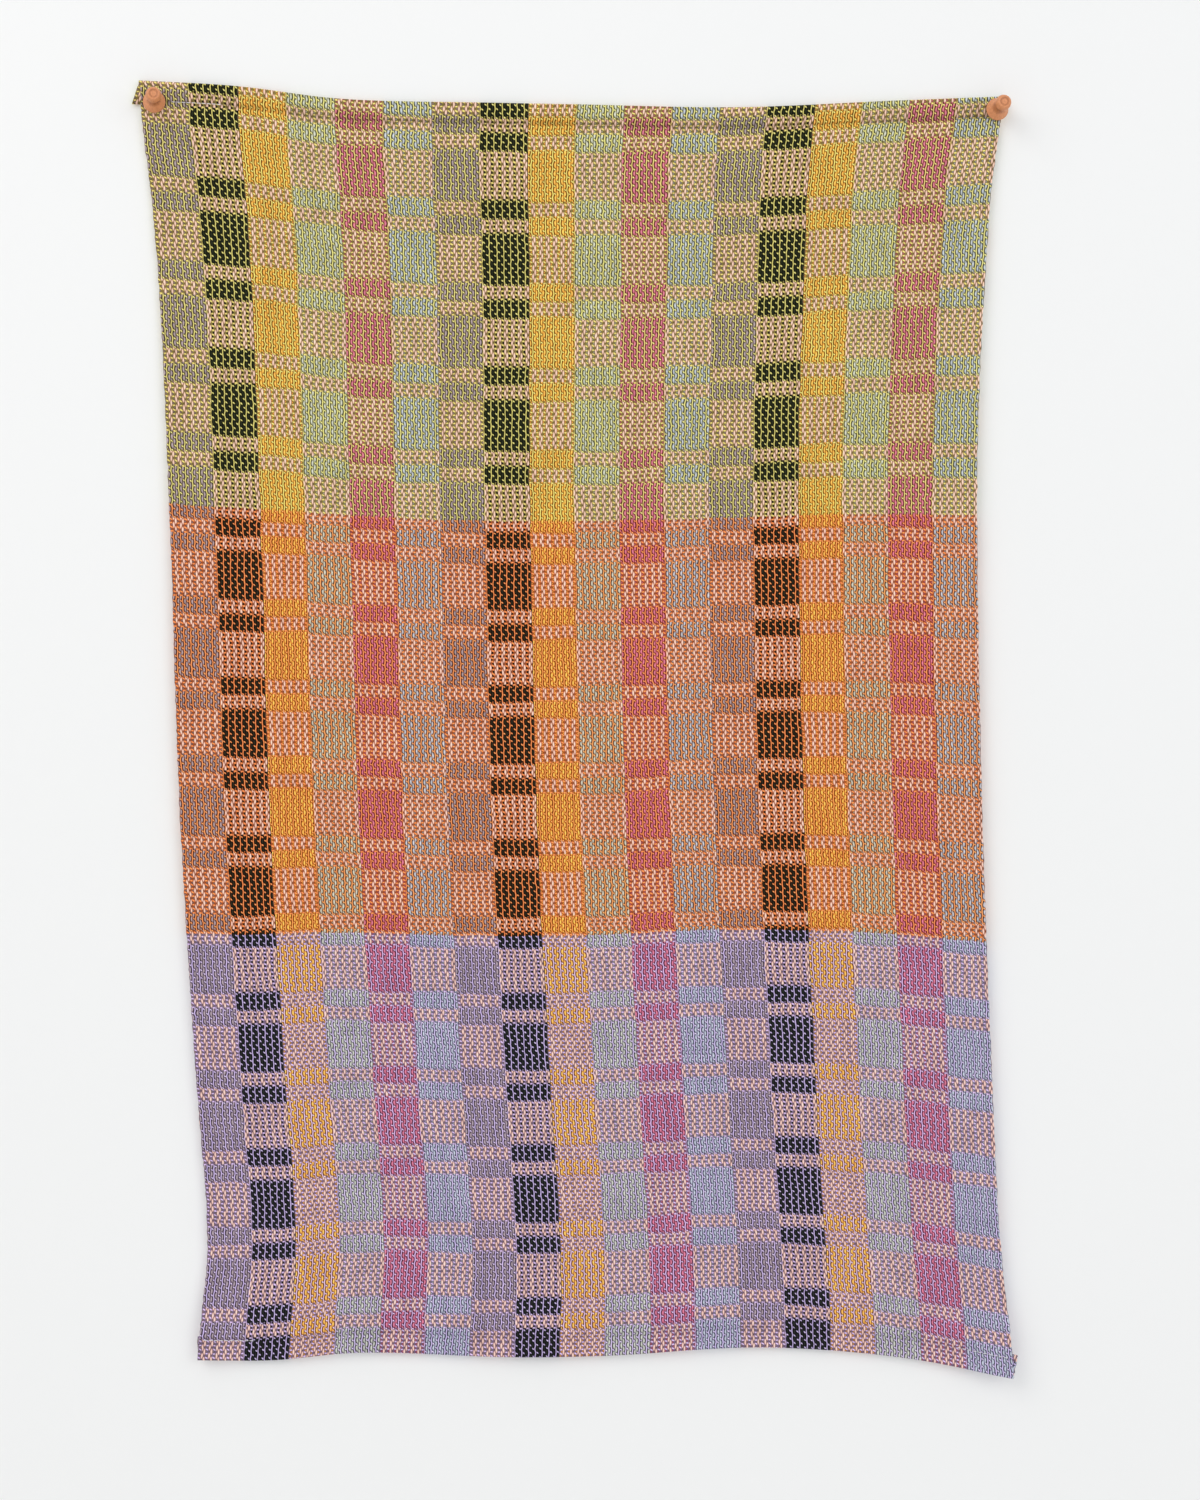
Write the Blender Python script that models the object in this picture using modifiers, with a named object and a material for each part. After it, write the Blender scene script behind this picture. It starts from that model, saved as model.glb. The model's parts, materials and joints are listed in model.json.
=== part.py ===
"""Woven wall hanging, held on a wall by two turned wooden push pins.

The cloth hangs in the XZ plane and faces -Y.  The wall is the plane y = 0, which the back of
the top hem lies on.  The origin is on that back face, half way down the hem and half way
along it.  The hem and the strip under the pin heads stay on the wall.  Below the bend line
the cloth lifts away from it, and each pin pulls straight out along its own axis.
"""
import math

import bmesh
import bpy

# --- Driving dimensions, in metres -----------------------------------------------------

CLOTH_WIDTH = 0.514          # corner to corner along the top fold
CLOTH_DROP = 0.744           # top fold to bottom fold, at mid width
LAYER = 0.0011               # one thickness of the double-faced cloth
FOLD_LAYERS = 3              # the front, the hem, and the edge turned in under the hem
HEM_DEPTH = 0.014            # fold to the hem's own edge
SEAM_INSET = 0.002           # the hem's edge to the row of stitches
SEAM_DIP = 0.0009            # how far the stitches pull the back of the hem in
SEAM_DIP_REACH = 0.002       # from the stitches up to where the back is flat again
GAP = 0.0003                 # kept between pieces that touch
WELD = 0.00001               # points closer than this are one point

BEND_BELOW_ORIGIN = 0.0105   # the line that the cloth lifts about, clear below the pin heads

# The folds' height above their level at mid width, at shares of the half width.
TOP_FOLD_RISE = ((-1.0, 0.0142), (-0.77, 0.0107), (-0.56, 0.0036), (-0.2, 0.0010),
                 (0.0, 0.0), (0.34, -0.0018), (0.76, 0.0024), (1.0, 0.0047))
BOTTOM_FOLD_RISE = ((-1.0, -0.0020), (-0.85, -0.0030), (-0.6, 0.0020), (-0.2, -0.0006),
                    (0.0, 0.0), (0.35, 0.0050), (0.7, 0.0), (1.0, -0.0120))

# How far each selvedge lies inside its top corner, at shares of the drop.
LEFT_DRAW_IN = ((0.0, 0.0), (0.04, 0.0040), (0.12, 0.0102), (0.34, 0.0184), (0.57, 0.0243),
                (0.78, 0.0339), (0.92, 0.0410), (0.98, 0.0357), (1.0, 0.0351))
RIGHT_DRAW_IN = ((0.0, 0.0), (0.04, 0.0055), (0.12, 0.0107), (0.31, 0.0166), (0.53, 0.0142),
                 (0.76, 0.0083), (0.92, 0.0023), (1.0, -0.0042))

THREAD_DIAMETER = 0.0004     # sewing thread
THREAD_END_INSET = 0.003     # from a selvedge to the end of a row of stitches

PIN_BASE_RADIUS = 0.0066
PIN_BASE_EDGE = 0.0011       # height of the base's upright edge
PIN_CONE_RADIUS = 0.0046     # where the base's slope ends
PIN_CONE_HEIGHT = 0.0042
PIN_WAIST_RADIUS = 0.0030
PIN_WAIST_HEIGHT = 0.0086
PIN_KNOB_RADIUS = 0.0046
PIN_KNOB_HEIGHT = 0.0142
PIN_HEAD_LENGTH = 0.0180
PIN_END_RADIUS = 0.0034      # flat end of the knob
PIN_END_DISH = 0.0003
PIN_DISH_RADIUS = 0.0020     # flat bottom of the dish in the knob's end
PIN_SHOULDER_BOW = 0.0006    # how far the knob's rounding bows out
PIN_RIM_ROUND = 0.0003       # rounding of the base's edges

NEEDLE_RADIUS = 0.00055
NEEDLE_REACH = 0.0125        # from the head's underside to the point
NEEDLE_POINT = 0.0030        # length of the taper
NEEDLE_SET = 0.0080          # length held inside the head
NEEDLE_CLEARANCE = 0.0003

LEFT_PIN_INSET = 0.0090      # pin to the cloth's top corner, along the fold
LEFT_PIN_DROP = 0.0130       # pin below the fold there
LEFT_PIN_LEAN_RIGHT = math.radians(8.0)
LEFT_PIN_LEAN_UP = math.radians(3.0)
RIGHT_PIN_INSET = 0.0045
RIGHT_PIN_DROP = 0.0082
RIGHT_PIN_LEAN_RIGHT = math.radians(6.0)
RIGHT_PIN_LEAN_UP = math.radians(2.0)

FOLD_STATIONS = 33           # sections along a hem
SIDE_STATIONS = 25           # points down a selvedge
THREAD_STATIONS = 33
TURN_STEPS = 24              # sides of a turned piece
CUTTER_LENGTH = 0.020        # longer than the hem is thick, both ways
CUTTER_SIDES = 12

# --- Sizes that follow -----------------------------------------------------------------

HALF_WIDTH = CLOTH_WIDTH / 2
BACK_Y = 0.0
FRONT_Y = -FOLD_LAYERS * LAYER
STEP_Y = FRONT_Y + LAYER
BEND_Z = -BEND_BELOW_ORIGIN
TOP_FOLD_Z = HEM_DEPTH / 2
BOTTOM_FOLD_Z = TOP_FOLD_Z - CLOTH_DROP
SEAM_DEPTH = HEM_DEPTH - SEAM_INSET
THREAD_RADIUS = THREAD_DIAMETER / 2

# Linear colours of the finishes.
OLIVE_CLOTH = (0.46, 0.32, 0.15, 1.0)
ORANGE_CLOTH = (0.55, 0.25, 0.13, 1.0)
LAVENDER_CLOTH = (0.42, 0.29, 0.36, 1.0)
PALE_THREAD = (0.72, 0.66, 0.72, 1.0)
PALE_WOOD = (0.62, 0.27, 0.12, 1.0)
STEEL = (0.55, 0.55, 0.56, 1.0)


# --- Helpers ---------------------------------------------------------------------------

def clear_scene():
    """Remove whatever the file opened with."""
    for obj in list(bpy.data.objects):
        bpy.data.objects.remove(obj, do_unlink=True)


def new_collection(name):
    """Add a collection under the scene."""
    collection = bpy.data.collections.new(name)
    bpy.context.scene.collection.children.link(collection)
    return collection


def finish(name, colour, roughness, metallic=0.0):
    """Make a plain finish."""
    material = bpy.data.materials.new(name)
    material.use_nodes = True
    shader = material.node_tree.nodes["Principled BSDF"]
    shader.inputs["Base Color"].default_value = colour
    shader.inputs["Roughness"].default_value = roughness
    shader.inputs["Metallic"].default_value = metallic
    return material


def smooth_through(points, at):
    """Read a smooth curve through (position, value) points, level at its peaks."""
    last = len(points) - 1
    if at <= points[0][0]:
        return points[0][1]
    if at >= points[last][0]:
        return points[last][1]
    slopes = []
    for i in range(last):
        run = points[i + 1][0] - points[i][0]
        slopes.append((points[i + 1][1] - points[i][1]) / run)
    tangents = [slopes[0]]
    for i in range(1, last):
        steady = slopes[i - 1] * slopes[i] > 0
        tangents.append((slopes[i - 1] + slopes[i]) / 2 if steady else 0.0)
    tangents.append(slopes[-1])
    i = max(k for k in range(last) if points[k][0] <= at)
    run = points[i + 1][0] - points[i][0]
    t = (at - points[i][0]) / run
    blend = t * t * (3 - 2 * t)
    lead = t * (1 - t) * (1 - t) * run * tangents[i]
    trail = t * t * (t - 1) * run * tangents[i + 1]
    return points[i][1] * (1 - blend) + points[i + 1][1] * blend + lead + trail


def top_fold(share):
    """Height of the top fold at a share of the half width, -1 to 1."""
    return TOP_FOLD_Z + smooth_through(TOP_FOLD_RISE, share)


def bottom_fold(share):
    """Height of the bottom fold at a share of the half width."""
    return BOTTOM_FOLD_Z + smooth_through(BOTTOM_FOLD_RISE, share)


def selvedges(z):
    """The cloth's left and right edges at a height."""
    share = (TOP_FOLD_Z - z) / CLOTH_DROP
    left = -HALF_WIDTH + smooth_through(LEFT_DRAW_IN, share)
    right = HALF_WIDTH - smooth_through(RIGHT_DRAW_IN, share)
    return left, right


def across(share, z):
    """The place at a share of the cloth's own width, at a height."""
    left, right = selvedges(z)
    return left + (right - left) * (share + 1) / 2


def shares(count):
    """Evenly spaced places from -1 to 1."""
    return [-1 + 2 * i / (count - 1) for i in range(count)]


def mesh_object(name, mesh, collection, material):
    """Add a mesh to a collection under one finish."""
    mesh.name = name
    mesh.materials.clear()
    mesh.materials.append(material)
    obj = bpy.data.objects.new(name, mesh)
    collection.objects.link(obj)
    return obj


def loft_along_width(name, section_at, collection, material):
    """Join sections, each a ring of (y, z) points, from selvedge to selvedge."""
    shape = bmesh.new()
    rings = []
    for share in shares(FOLD_STATIONS):
        ring = []
        for y, z in section_at(share):
            ring.append(shape.verts.new((across(share, z), y, z)))
        rings.append(ring)
    for near, far in zip(rings, rings[1:]):
        for i in range(len(near)):
            j = (i + 1) % len(near)
            shape.faces.new((near[i], near[j], far[j], far[i]))
    shape.faces.new(rings[0])
    shape.faces.new(rings[-1])
    bmesh.ops.recalc_face_normals(shape, faces=shape.faces)
    mesh = bpy.data.meshes.new(name)
    shape.to_mesh(mesh)
    shape.free()
    return mesh_object(name, mesh, collection, material)


def curve_to_mesh(obj):
    """Turn a curve object into a closed mesh object of the same name and place."""
    name = obj.name
    collection = obj.users_collection[0]
    material = obj.data.materials[0]
    bpy.context.view_layer.update()
    evaluated = obj.evaluated_get(bpy.context.evaluated_depsgraph_get())
    mesh = bpy.data.meshes.new_from_object(evaluated)
    place = obj.matrix_world.copy()
    bpy.data.objects.remove(obj, do_unlink=True)
    shape = bmesh.new()
    shape.from_mesh(mesh)
    bmesh.ops.remove_doubles(shape, verts=shape.verts, dist=WELD)
    shape.to_mesh(mesh)
    shape.free()
    made = mesh_object(name, mesh, collection, material)
    made.matrix_world = place
    return made


# --- The cloth -------------------------------------------------------------------------

def top_hem_section(share):
    """The folded hem, with the single strip of cloth below it down to the bend line."""
    fold = top_fold(share)
    edge = fold - HEM_DEPTH
    seam = fold - SEAM_DEPTH
    foot = BEND_Z + GAP / 2
    return ((FRONT_Y, fold), (BACK_Y, fold), (BACK_Y, seam + SEAM_DIP_REACH),
            (BACK_Y - SEAM_DIP, seam), (BACK_Y - SEAM_DIP, edge), (STEP_Y, edge),
            (STEP_Y, foot), (FRONT_Y, foot))


def bottom_hem_section(share):
    """The folded bottom hem, from its edge down to its fold."""
    fold = bottom_fold(share)
    edge = fold + HEM_DEPTH
    seam = fold + SEAM_DEPTH
    return ((FRONT_Y, edge), (BACK_Y - SEAM_DIP, edge), (BACK_Y - SEAM_DIP, seam),
            (BACK_Y, seam - SEAM_DIP_REACH), (BACK_Y, fold), (FRONT_Y, fold))


def woven_panel(collection, material):
    """The single cloth from the bend line to the bottom hem, as a cut outline."""
    top = BEND_Z - GAP / 2
    foot = {share: bottom_fold(share) + HEM_DEPTH + GAP for share in shares(FOLD_STATIONS)}
    points = []
    for share, z in foot.items():
        points.append((across(share, z), z))
    for side in (1, -1):
        low = foot[side]
        heights = [low + (top - low) * i / (SIDE_STATIONS - 1) for i in range(SIDE_STATIONS)]
        if side == -1:
            heights.reverse()
        points.extend((across(side, z), z) for z in heights)
    outline = bpy.data.curves.new("woven_panel", "CURVE")
    outline.dimensions = "2D"
    outline.fill_mode = "BOTH"
    outline.extrude = LAYER / 2
    outline.materials.append(material)
    spline = outline.splines.new("POLY")
    kept = [p for i, p in enumerate(points) if math.dist(p, points[i - 1]) > GAP]
    spline.points.add(len(kept) - 1)
    for point, (x, z) in zip(spline.points, kept):
        point.co = (x, z, 0.0, 1.0)
    spline.use_cyclic_u = True
    obj = bpy.data.objects.new("woven_panel", outline)
    obj.rotation_euler = (math.pi / 2, 0.0, 0.0)
    obj.location = (0.0, FRONT_Y + LAYER / 2, 0.0)
    collection.objects.link(obj)
    return curve_to_mesh(obj)


def seam_thread(name, seam_at, y, insets, collection, material):
    """A row of sewing thread along a seam, ending at an inset from each selvedge."""
    run = bpy.data.curves.new(name, "CURVE")
    run.dimensions = "3D"
    run.bevel_depth = THREAD_RADIUS
    run.bevel_resolution = 2
    run.use_fill_caps = True
    run.materials.append(material)
    spline = run.splines.new("POLY")
    spline.points.add(THREAD_STATIONS - 1)
    start = -1 + 2 * insets[0] / CLOTH_WIDTH
    end = 1 - 2 * insets[1] / CLOTH_WIDTH
    for i, point in enumerate(spline.points):
        share = start + (end - start) * i / (THREAD_STATIONS - 1)
        z = seam_at(share)
        point.co = (across(share, z), y, z, 1.0)
    obj = bpy.data.objects.new(name, run)
    collection.objects.link(obj)
    return obj


def top_seam(share):
    """Height of the top hem's row of stitches."""
    return top_fold(share) - SEAM_DEPTH


def bottom_seam(share):
    """Height of the bottom hem's row of stitches."""
    return bottom_fold(share) + SEAM_DEPTH


def hem_threads(collection, material):
    """The needle thread on the front and the bobbin thread on the back of each hem."""
    front_y = FRONT_Y - GAP - THREAD_RADIUS
    back_y = BACK_Y - SEAM_DIP + GAP + THREAD_RADIUS
    beside_pin = PIN_BASE_RADIUS + THREAD_END_INSET
    between_pins = (LEFT_PIN_INSET + beside_pin, RIGHT_PIN_INSET + beside_pin)
    between_selvedges = (THREAD_END_INSET, THREAD_END_INSET)
    rows = (("top_hem", top_seam, between_pins), ("bottom_hem", bottom_seam, between_selvedges))
    for hem, seam_at, insets in rows:
        seam_thread(hem + "_needle_thread", seam_at, front_y, insets, collection, material)
        seam_thread(hem + "_bobbin_thread", seam_at, back_y, insets, collection, material)


# --- The push pins ---------------------------------------------------------------------

def arc_points(start, end, bulge, count):
    """Points from start to end on a bow that stands out by bulge at its middle."""
    points = []
    for i in range(1, count):
        t = i / count
        lift = bulge * math.sin(math.pi * t)
        points.append((start[0] + (end[0] - start[0]) * t + lift,
                       start[1] + (end[1] - start[1]) * t))
    points.append(end)
    return points


def cosine_points(start, end, count):
    """Points from start to end that leave and arrive straight up."""
    points = []
    for i in range(1, count + 1):
        t = i / count
        ease = (1 - math.cos(math.pi * t)) / 2
        points.append((start[0] + (end[0] - start[0]) * ease,
                       start[1] + (end[1] - start[1]) * t))
    return points


def turned(name, profile, parent, collection, material):
    """Turn a profile of (radius, height) points, given from the top down, about its axis."""
    mesh = bpy.data.meshes.new(name)
    verts = [(radius, 0.0, height) for radius, height in profile]
    edges = [(i, i + 1) for i in range(len(profile) - 1)]
    mesh.from_pydata(verts, edges, [])
    obj = mesh_object(name, mesh, collection, material)
    obj.parent = parent
    screw = obj.modifiers.new("turn", "SCREW")
    screw.axis = "Z"
    screw.angle = math.tau
    screw.steps = TURN_STEPS
    screw.render_steps = TURN_STEPS
    screw.use_merge_vertices = True
    screw.merge_threshold = WELD
    screw.use_smooth_shade = True
    return obj


def head_profile():
    """Knob end, knob, waist, sloped base, underside and the socket for the needle."""
    socket = NEEDLE_RADIUS + NEEDLE_CLEARANCE
    socket_top = NEEDLE_SET + NEEDLE_CLEARANCE
    knob_edge = (PIN_KNOB_RADIUS, PIN_KNOB_HEIGHT)
    waist = (PIN_WAIST_RADIUS, PIN_WAIST_HEIGHT)
    cone_top = (PIN_CONE_RADIUS, PIN_CONE_HEIGHT)
    rim = (PIN_BASE_RADIUS, PIN_BASE_EDGE)
    points = [(0.0, PIN_HEAD_LENGTH - PIN_END_DISH)]
    points.append((PIN_DISH_RADIUS, PIN_HEAD_LENGTH - PIN_END_DISH))
    points.append((PIN_END_RADIUS, PIN_HEAD_LENGTH))
    points.extend(arc_points(points[-1], knob_edge, PIN_SHOULDER_BOW, 5))
    points.extend(cosine_points(knob_edge, waist, 5))
    points.extend(cosine_points(waist, cone_top, 4))
    points.extend(arc_points(cone_top, rim, PIN_RIM_ROUND, 3))
    points.append((PIN_BASE_RADIUS, PIN_RIM_ROUND))
    points.append((PIN_BASE_RADIUS - PIN_RIM_ROUND, 0.0))
    points.append((socket, 0.0))
    points.append((socket, socket_top))
    points.append((0.0, socket_top))
    return points


def needle_profile():
    """Set end, shank and point of the needle."""
    return [(0.0, NEEDLE_SET), (NEEDLE_RADIUS, NEEDLE_SET),
            (NEEDLE_RADIUS, NEEDLE_POINT - NEEDLE_REACH), (0.0, -NEEDLE_REACH)]


def pin_frame(side, x, z, lean_right, lean_up, collection):
    """An empty on the pin's axis, at the head's underside, with +Z pointing out of the wall."""
    lean = math.acos(math.cos(lean_right) * math.cos(lean_up))
    stand_off = GAP + PIN_BASE_RADIUS * math.sin(lean)
    frame = bpy.data.objects.new(side + "_pin_frame", None)
    frame.empty_display_size = PIN_HEAD_LENGTH
    frame.location = (x, FRONT_Y - stand_off, z)
    frame.rotation_euler = (math.pi / 2 - lean_up, 0.0, lean_right)
    collection.objects.link(frame)
    return frame


def push_pin(side, frame, collection, wood, steel):
    """The turned head and its needle."""
    turned(side + "_pin_head", head_profile(), frame, collection, wood)
    turned(side + "_pin_needle", needle_profile(), frame, collection, steel)


def pierce(cloth, frame, side, cutters, material):
    """Open the hole that the needle passes through."""
    radius = NEEDLE_RADIUS + NEEDLE_CLEARANCE
    shape = bmesh.new()
    bmesh.ops.create_cone(shape, cap_ends=True, segments=CUTTER_SIDES, radius1=radius,
                          radius2=radius, depth=CUTTER_LENGTH)
    mesh = bpy.data.meshes.new(side + "_hole_cutter")
    shape.to_mesh(mesh)
    shape.free()
    cutter = mesh_object(side + "_hole_cutter", mesh, cutters, material)
    cutter.parent = frame
    cutter.hide_render = True
    cutter.display_type = "WIRE"
    cut = cloth.modifiers.new(side + "_hole", "BOOLEAN")
    cut.operation = "DIFFERENCE"
    cut.solver = "EXACT"
    cut.object = cutter


# --- The whole object ------------------------------------------------------------------

def build():
    """Model every piece."""
    clear_scene()
    parts = new_collection("tapestry_wall_hanging")
    cutters = new_collection("cutters")
    thread = finish("sewing_thread", PALE_THREAD, 0.7)
    wood = finish("turned_wood", PALE_WOOD, 0.5)
    steel = finish("needle_steel", STEEL, 0.25, 1.0)

    olive = finish("olive_cloth", OLIVE_CLOTH, 0.9)
    top_hem = loft_along_width("top_hem", top_hem_section, parts, olive)
    woven_panel(parts, finish("orange_cloth", ORANGE_CLOTH, 0.9))
    lavender = finish("lavender_cloth", LAVENDER_CLOTH, 0.9)
    loft_along_width("bottom_hem", bottom_hem_section, parts, lavender)
    hem_threads(parts, thread)

    left_x = -HALF_WIDTH + LEFT_PIN_INSET
    left_z = top_fold(left_x / HALF_WIDTH) - LEFT_PIN_DROP
    left = pin_frame("left", left_x, left_z, LEFT_PIN_LEAN_RIGHT, LEFT_PIN_LEAN_UP, parts)
    right_x = HALF_WIDTH - RIGHT_PIN_INSET
    right_z = top_fold(right_x / HALF_WIDTH) - RIGHT_PIN_DROP
    right = pin_frame("right", right_x, right_z, RIGHT_PIN_LEAN_RIGHT, RIGHT_PIN_LEAN_UP, parts)
    for side, frame in (("left", left), ("right", right)):
        push_pin(side, frame, parts, wood, steel)
        pierce(top_hem, frame, side, cutters, olive)


build()
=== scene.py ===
# %% [markdown]
# # A handwoven wall hanging on two push pins
#
# The real object is one cotton cloth, woven in a block weave, hemmed at its top and bottom and
# pinned flat on a wall by two turned wooden pins. Colour stripes run down the warp, and the weft
# changes colour twice, so each block is a mixture of two yarns.
#
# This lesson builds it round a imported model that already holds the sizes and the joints. That
# model is loaded first and never moved. Everything else is measured from it.

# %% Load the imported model
import json
import math

import bpy
import numpy as np
from mathutils import Matrix, Vector


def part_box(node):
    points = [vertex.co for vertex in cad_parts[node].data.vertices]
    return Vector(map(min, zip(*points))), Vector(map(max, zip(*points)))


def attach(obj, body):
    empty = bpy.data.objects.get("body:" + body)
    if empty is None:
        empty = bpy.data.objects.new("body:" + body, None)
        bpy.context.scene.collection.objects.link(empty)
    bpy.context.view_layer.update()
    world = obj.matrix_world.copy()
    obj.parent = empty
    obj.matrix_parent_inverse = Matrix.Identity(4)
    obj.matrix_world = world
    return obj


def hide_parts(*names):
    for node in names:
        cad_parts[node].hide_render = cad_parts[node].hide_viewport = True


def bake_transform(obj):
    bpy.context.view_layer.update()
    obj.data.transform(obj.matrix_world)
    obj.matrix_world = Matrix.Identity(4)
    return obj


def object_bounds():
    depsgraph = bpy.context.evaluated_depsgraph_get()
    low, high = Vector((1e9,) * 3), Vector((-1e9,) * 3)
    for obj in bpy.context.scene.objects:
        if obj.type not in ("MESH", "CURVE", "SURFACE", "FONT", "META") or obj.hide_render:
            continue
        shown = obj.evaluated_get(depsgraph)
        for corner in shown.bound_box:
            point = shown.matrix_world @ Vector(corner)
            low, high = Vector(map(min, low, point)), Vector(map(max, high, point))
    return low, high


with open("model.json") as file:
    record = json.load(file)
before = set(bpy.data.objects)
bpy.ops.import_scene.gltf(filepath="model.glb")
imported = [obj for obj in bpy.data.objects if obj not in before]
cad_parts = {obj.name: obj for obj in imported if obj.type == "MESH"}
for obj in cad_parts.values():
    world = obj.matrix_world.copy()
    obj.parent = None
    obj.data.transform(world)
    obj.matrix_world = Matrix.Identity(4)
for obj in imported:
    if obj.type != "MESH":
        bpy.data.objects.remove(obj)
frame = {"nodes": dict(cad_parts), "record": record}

MM = 0.001
cad_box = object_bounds()
bpy.ops.object.select_all(action="DESELECT")
print("CAD model, mm:", [round((high - low) / MM, 1) for low, high in zip(*cad_box)])

# %% [markdown]
# ## Camera, wall, floor and light
#
# The hanging is seen straight on, from the height of its middle. A wall behind it catches the
# faint shadows that show how the cloth lies, so one stands just behind the back of the top hem.
# Seen from behind it would hide the cloth, so its material lets light through on that side. It is
# a plain plane, like the floor.

# %% Place the camera
VIEW_DISTANCE = 1.6
LENS = 64.5
FRAME_CENTRE = Vector((0.0167, 0, -0.377))

bpy.ops.object.camera_add(location=FRAME_CENTRE + Vector((0, -VIEW_DISTANCE, 0)))
camera = bpy.context.object
camera.rotation_euler = (math.radians(90), 0, 0)
camera.data.lens = LENS
camera.data.sensor_width = 36
bpy.context.scene.camera = camera
bpy.context.scene.view_settings.view_transform = "Standard"
framed = VIEW_DISTANCE * camera.data.sensor_width / LENS
print("the frame is", round(framed, 3), "m tall at the wall")

# %% Lay the wall and the floor
WALL_GAP = 0.6 * MM
STAGE_SIZE = 9.0
FLOOR_BELOW = 0.55


def stage_material(name, colour):
    """A plain matt paint, with its own colour on the shader."""
    material = bpy.data.materials.new(name)
    material.use_nodes = True
    shader = material.node_tree.nodes["Principled BSDF"]
    shader.inputs["Base Color"].default_value = (*colour, 1)
    shader.inputs["Roughness"].default_value = 0.9
    shader.inputs["Specular IOR Level"].default_value = 0.2
    return material


floor_height = cad_box[0].z - FLOOR_BELOW
bpy.ops.mesh.primitive_plane_add(size=STAGE_SIZE, location=(0, 0, floor_height))
floor = bpy.context.object
floor.name = "floor"
floor.data.materials.append(stage_material("pale_floor", (0.80, 0.80, 0.79)))

wall_place = (0, WALL_GAP, floor_height + STAGE_SIZE / 2)
bpy.ops.mesh.primitive_plane_add(size=STAGE_SIZE, location=wall_place, rotation=(math.pi / 2, 0, 0))
wall = bpy.context.object
wall.name = "wall"
wall.data.materials.append(stage_material("wall_paint", (0.90, 0.90, 0.895)))
print("floor at", round(floor_height, 3), "m, wall at y =", WALL_GAP)

# %% Make the wall one-sided
def one_sided(material):
    """Lets the back of a plane through, so that it hides nothing from behind."""
    nodes, links = material.node_tree.nodes, material.node_tree.links
    side = nodes.new("ShaderNodeNewGeometry")
    through = nodes.new("ShaderNodeBsdfTransparent")
    either = nodes.new("ShaderNodeMixShader")
    links.new(side.outputs["Backfacing"], either.inputs["Fac"])
    links.new(nodes["Principled BSDF"].outputs["BSDF"], either.inputs[1])
    links.new(through.outputs["BSDF"], either.inputs[2])
    links.new(either.outputs["Shader"], nodes["Material Output"].inputs["Surface"])


one_sided(wall.active_material)
wall.visible_shadow = False
wall.visible_diffuse = False
wall.visible_glossy = False
print("the wall shows from the front only")

# %% [markdown]
# The light is soft and nearly even. A pale sky of light does most of the work. A large lamp high on
# the left gives the yarns and the pins a lit side, and a weaker one on the right keeps the
# shadows open. A third lamp behind the wall lights the reverse. The wall casts no shadow, so that
# lamp and the sky reach the cloth from behind too.

# %% Light the wall
SKY_COLOUR = (0.97, 0.985, 1.0)
SKY_STRENGTH = 0.78
# Each lamp is its place, its size in metres, its watts and its colour.
LAMPS = {
    "key_lamp": ((-1.5, -1.7, 1.1), 1.7, 19, (1.0, 0.985, 0.96)),
    "fill_lamp": ((2.0, -2.2, 0.2), 1.8, 13, (0.95, 0.97, 1.0)),
    "back_lamp": ((0.9, 2.4, 0.8), 1.4, 22, (1.0, 0.99, 0.98)),
}


def soft_lamp(name, place, size, watts, colour):
    """A square lamp that points at the middle of the cloth."""
    bpy.ops.object.light_add(type="AREA", location=place)
    lamp = bpy.context.object
    lamp.name = name
    aim = Vector((0, 0, FRAME_CENTRE.z)) - Vector(place)
    lamp.rotation_euler = aim.to_track_quat("-Z", "Y").to_euler()
    lamp.data.size = size
    lamp.data.energy = watts
    lamp.data.color = colour


sky = bpy.data.worlds.new("soft_sky")
sky.use_nodes = True
sky.node_tree.nodes["Background"].inputs["Color"].default_value = (*SKY_COLOUR, 1)
sky.node_tree.nodes["Background"].inputs["Strength"].default_value = SKY_STRENGTH
bpy.context.scene.world = sky
for name, settings in LAMPS.items():
    soft_lamp(name, *settings)
print("sky and", len(LAMPS), "lamps")

# %% [markdown]
# ## The weaving plan
#
# A weaver writes this cloth down in threads, and so does this lesson. The warp has 468 ends in 18
# stripes of 26, and six yarn colours take turns. Every second end is peach. Where a block shows
# its stripe's own yarn the peach ends lie behind, and where it doesn't they lie in front. The
# reverse shows the opposite, so both faces of the cloth are patterned.
#
# Down the cloth, bands of 24 and 8 picks say which stripes show their own colour. The weft is
# olive at the top, then orange, then lavender.

# %% Write the plan in threads
ENDS_IN_STRIPE = 26
STRIPES = 18
ENDS = ENDS_IN_STRIPE * STRIPES
BAND_PICKS = (24, 8, 8, 24, 8, 8)
REPEAT_PICKS = sum(BAND_PICKS)
ORANGE_FROM = 176
LAVENDER_FROM = 392

STRIPE_YARNS = {
    "grey": (0.180, 0.144, 0.158),
    "dark_green": (0.004, 0.006, 0.003),
    "gold": (0.465, 0.243, 0.050),
    "sage": (0.262, 0.270, 0.232),
    "rose": (0.300, 0.088, 0.132),
    "teal": (0.226, 0.245, 0.278),
}
PEACH_YARN = (0.400, 0.272, 0.230)
WEFT_YARNS = {
    "olive": (0.765, 0.705, 0.300),
    "orange": (1.000, 0.420, 0.170),
    "lavender": (0.660, 0.572, 0.804),
}
print(ENDS, "ends in", STRIPES, "stripes, and a pattern that repeats every", REPEAT_PICKS, "picks")

# %% [markdown]
# Picks are not all the same height on the cloth: the olive ones were beaten in more loosely. The
# plan counts picks from the first tall band of the panel. The folds of the hems don't follow one
# pick from side to side, because the cloth was folded by eye, so each has its own pick at the
# left, the middle and the right.

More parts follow.
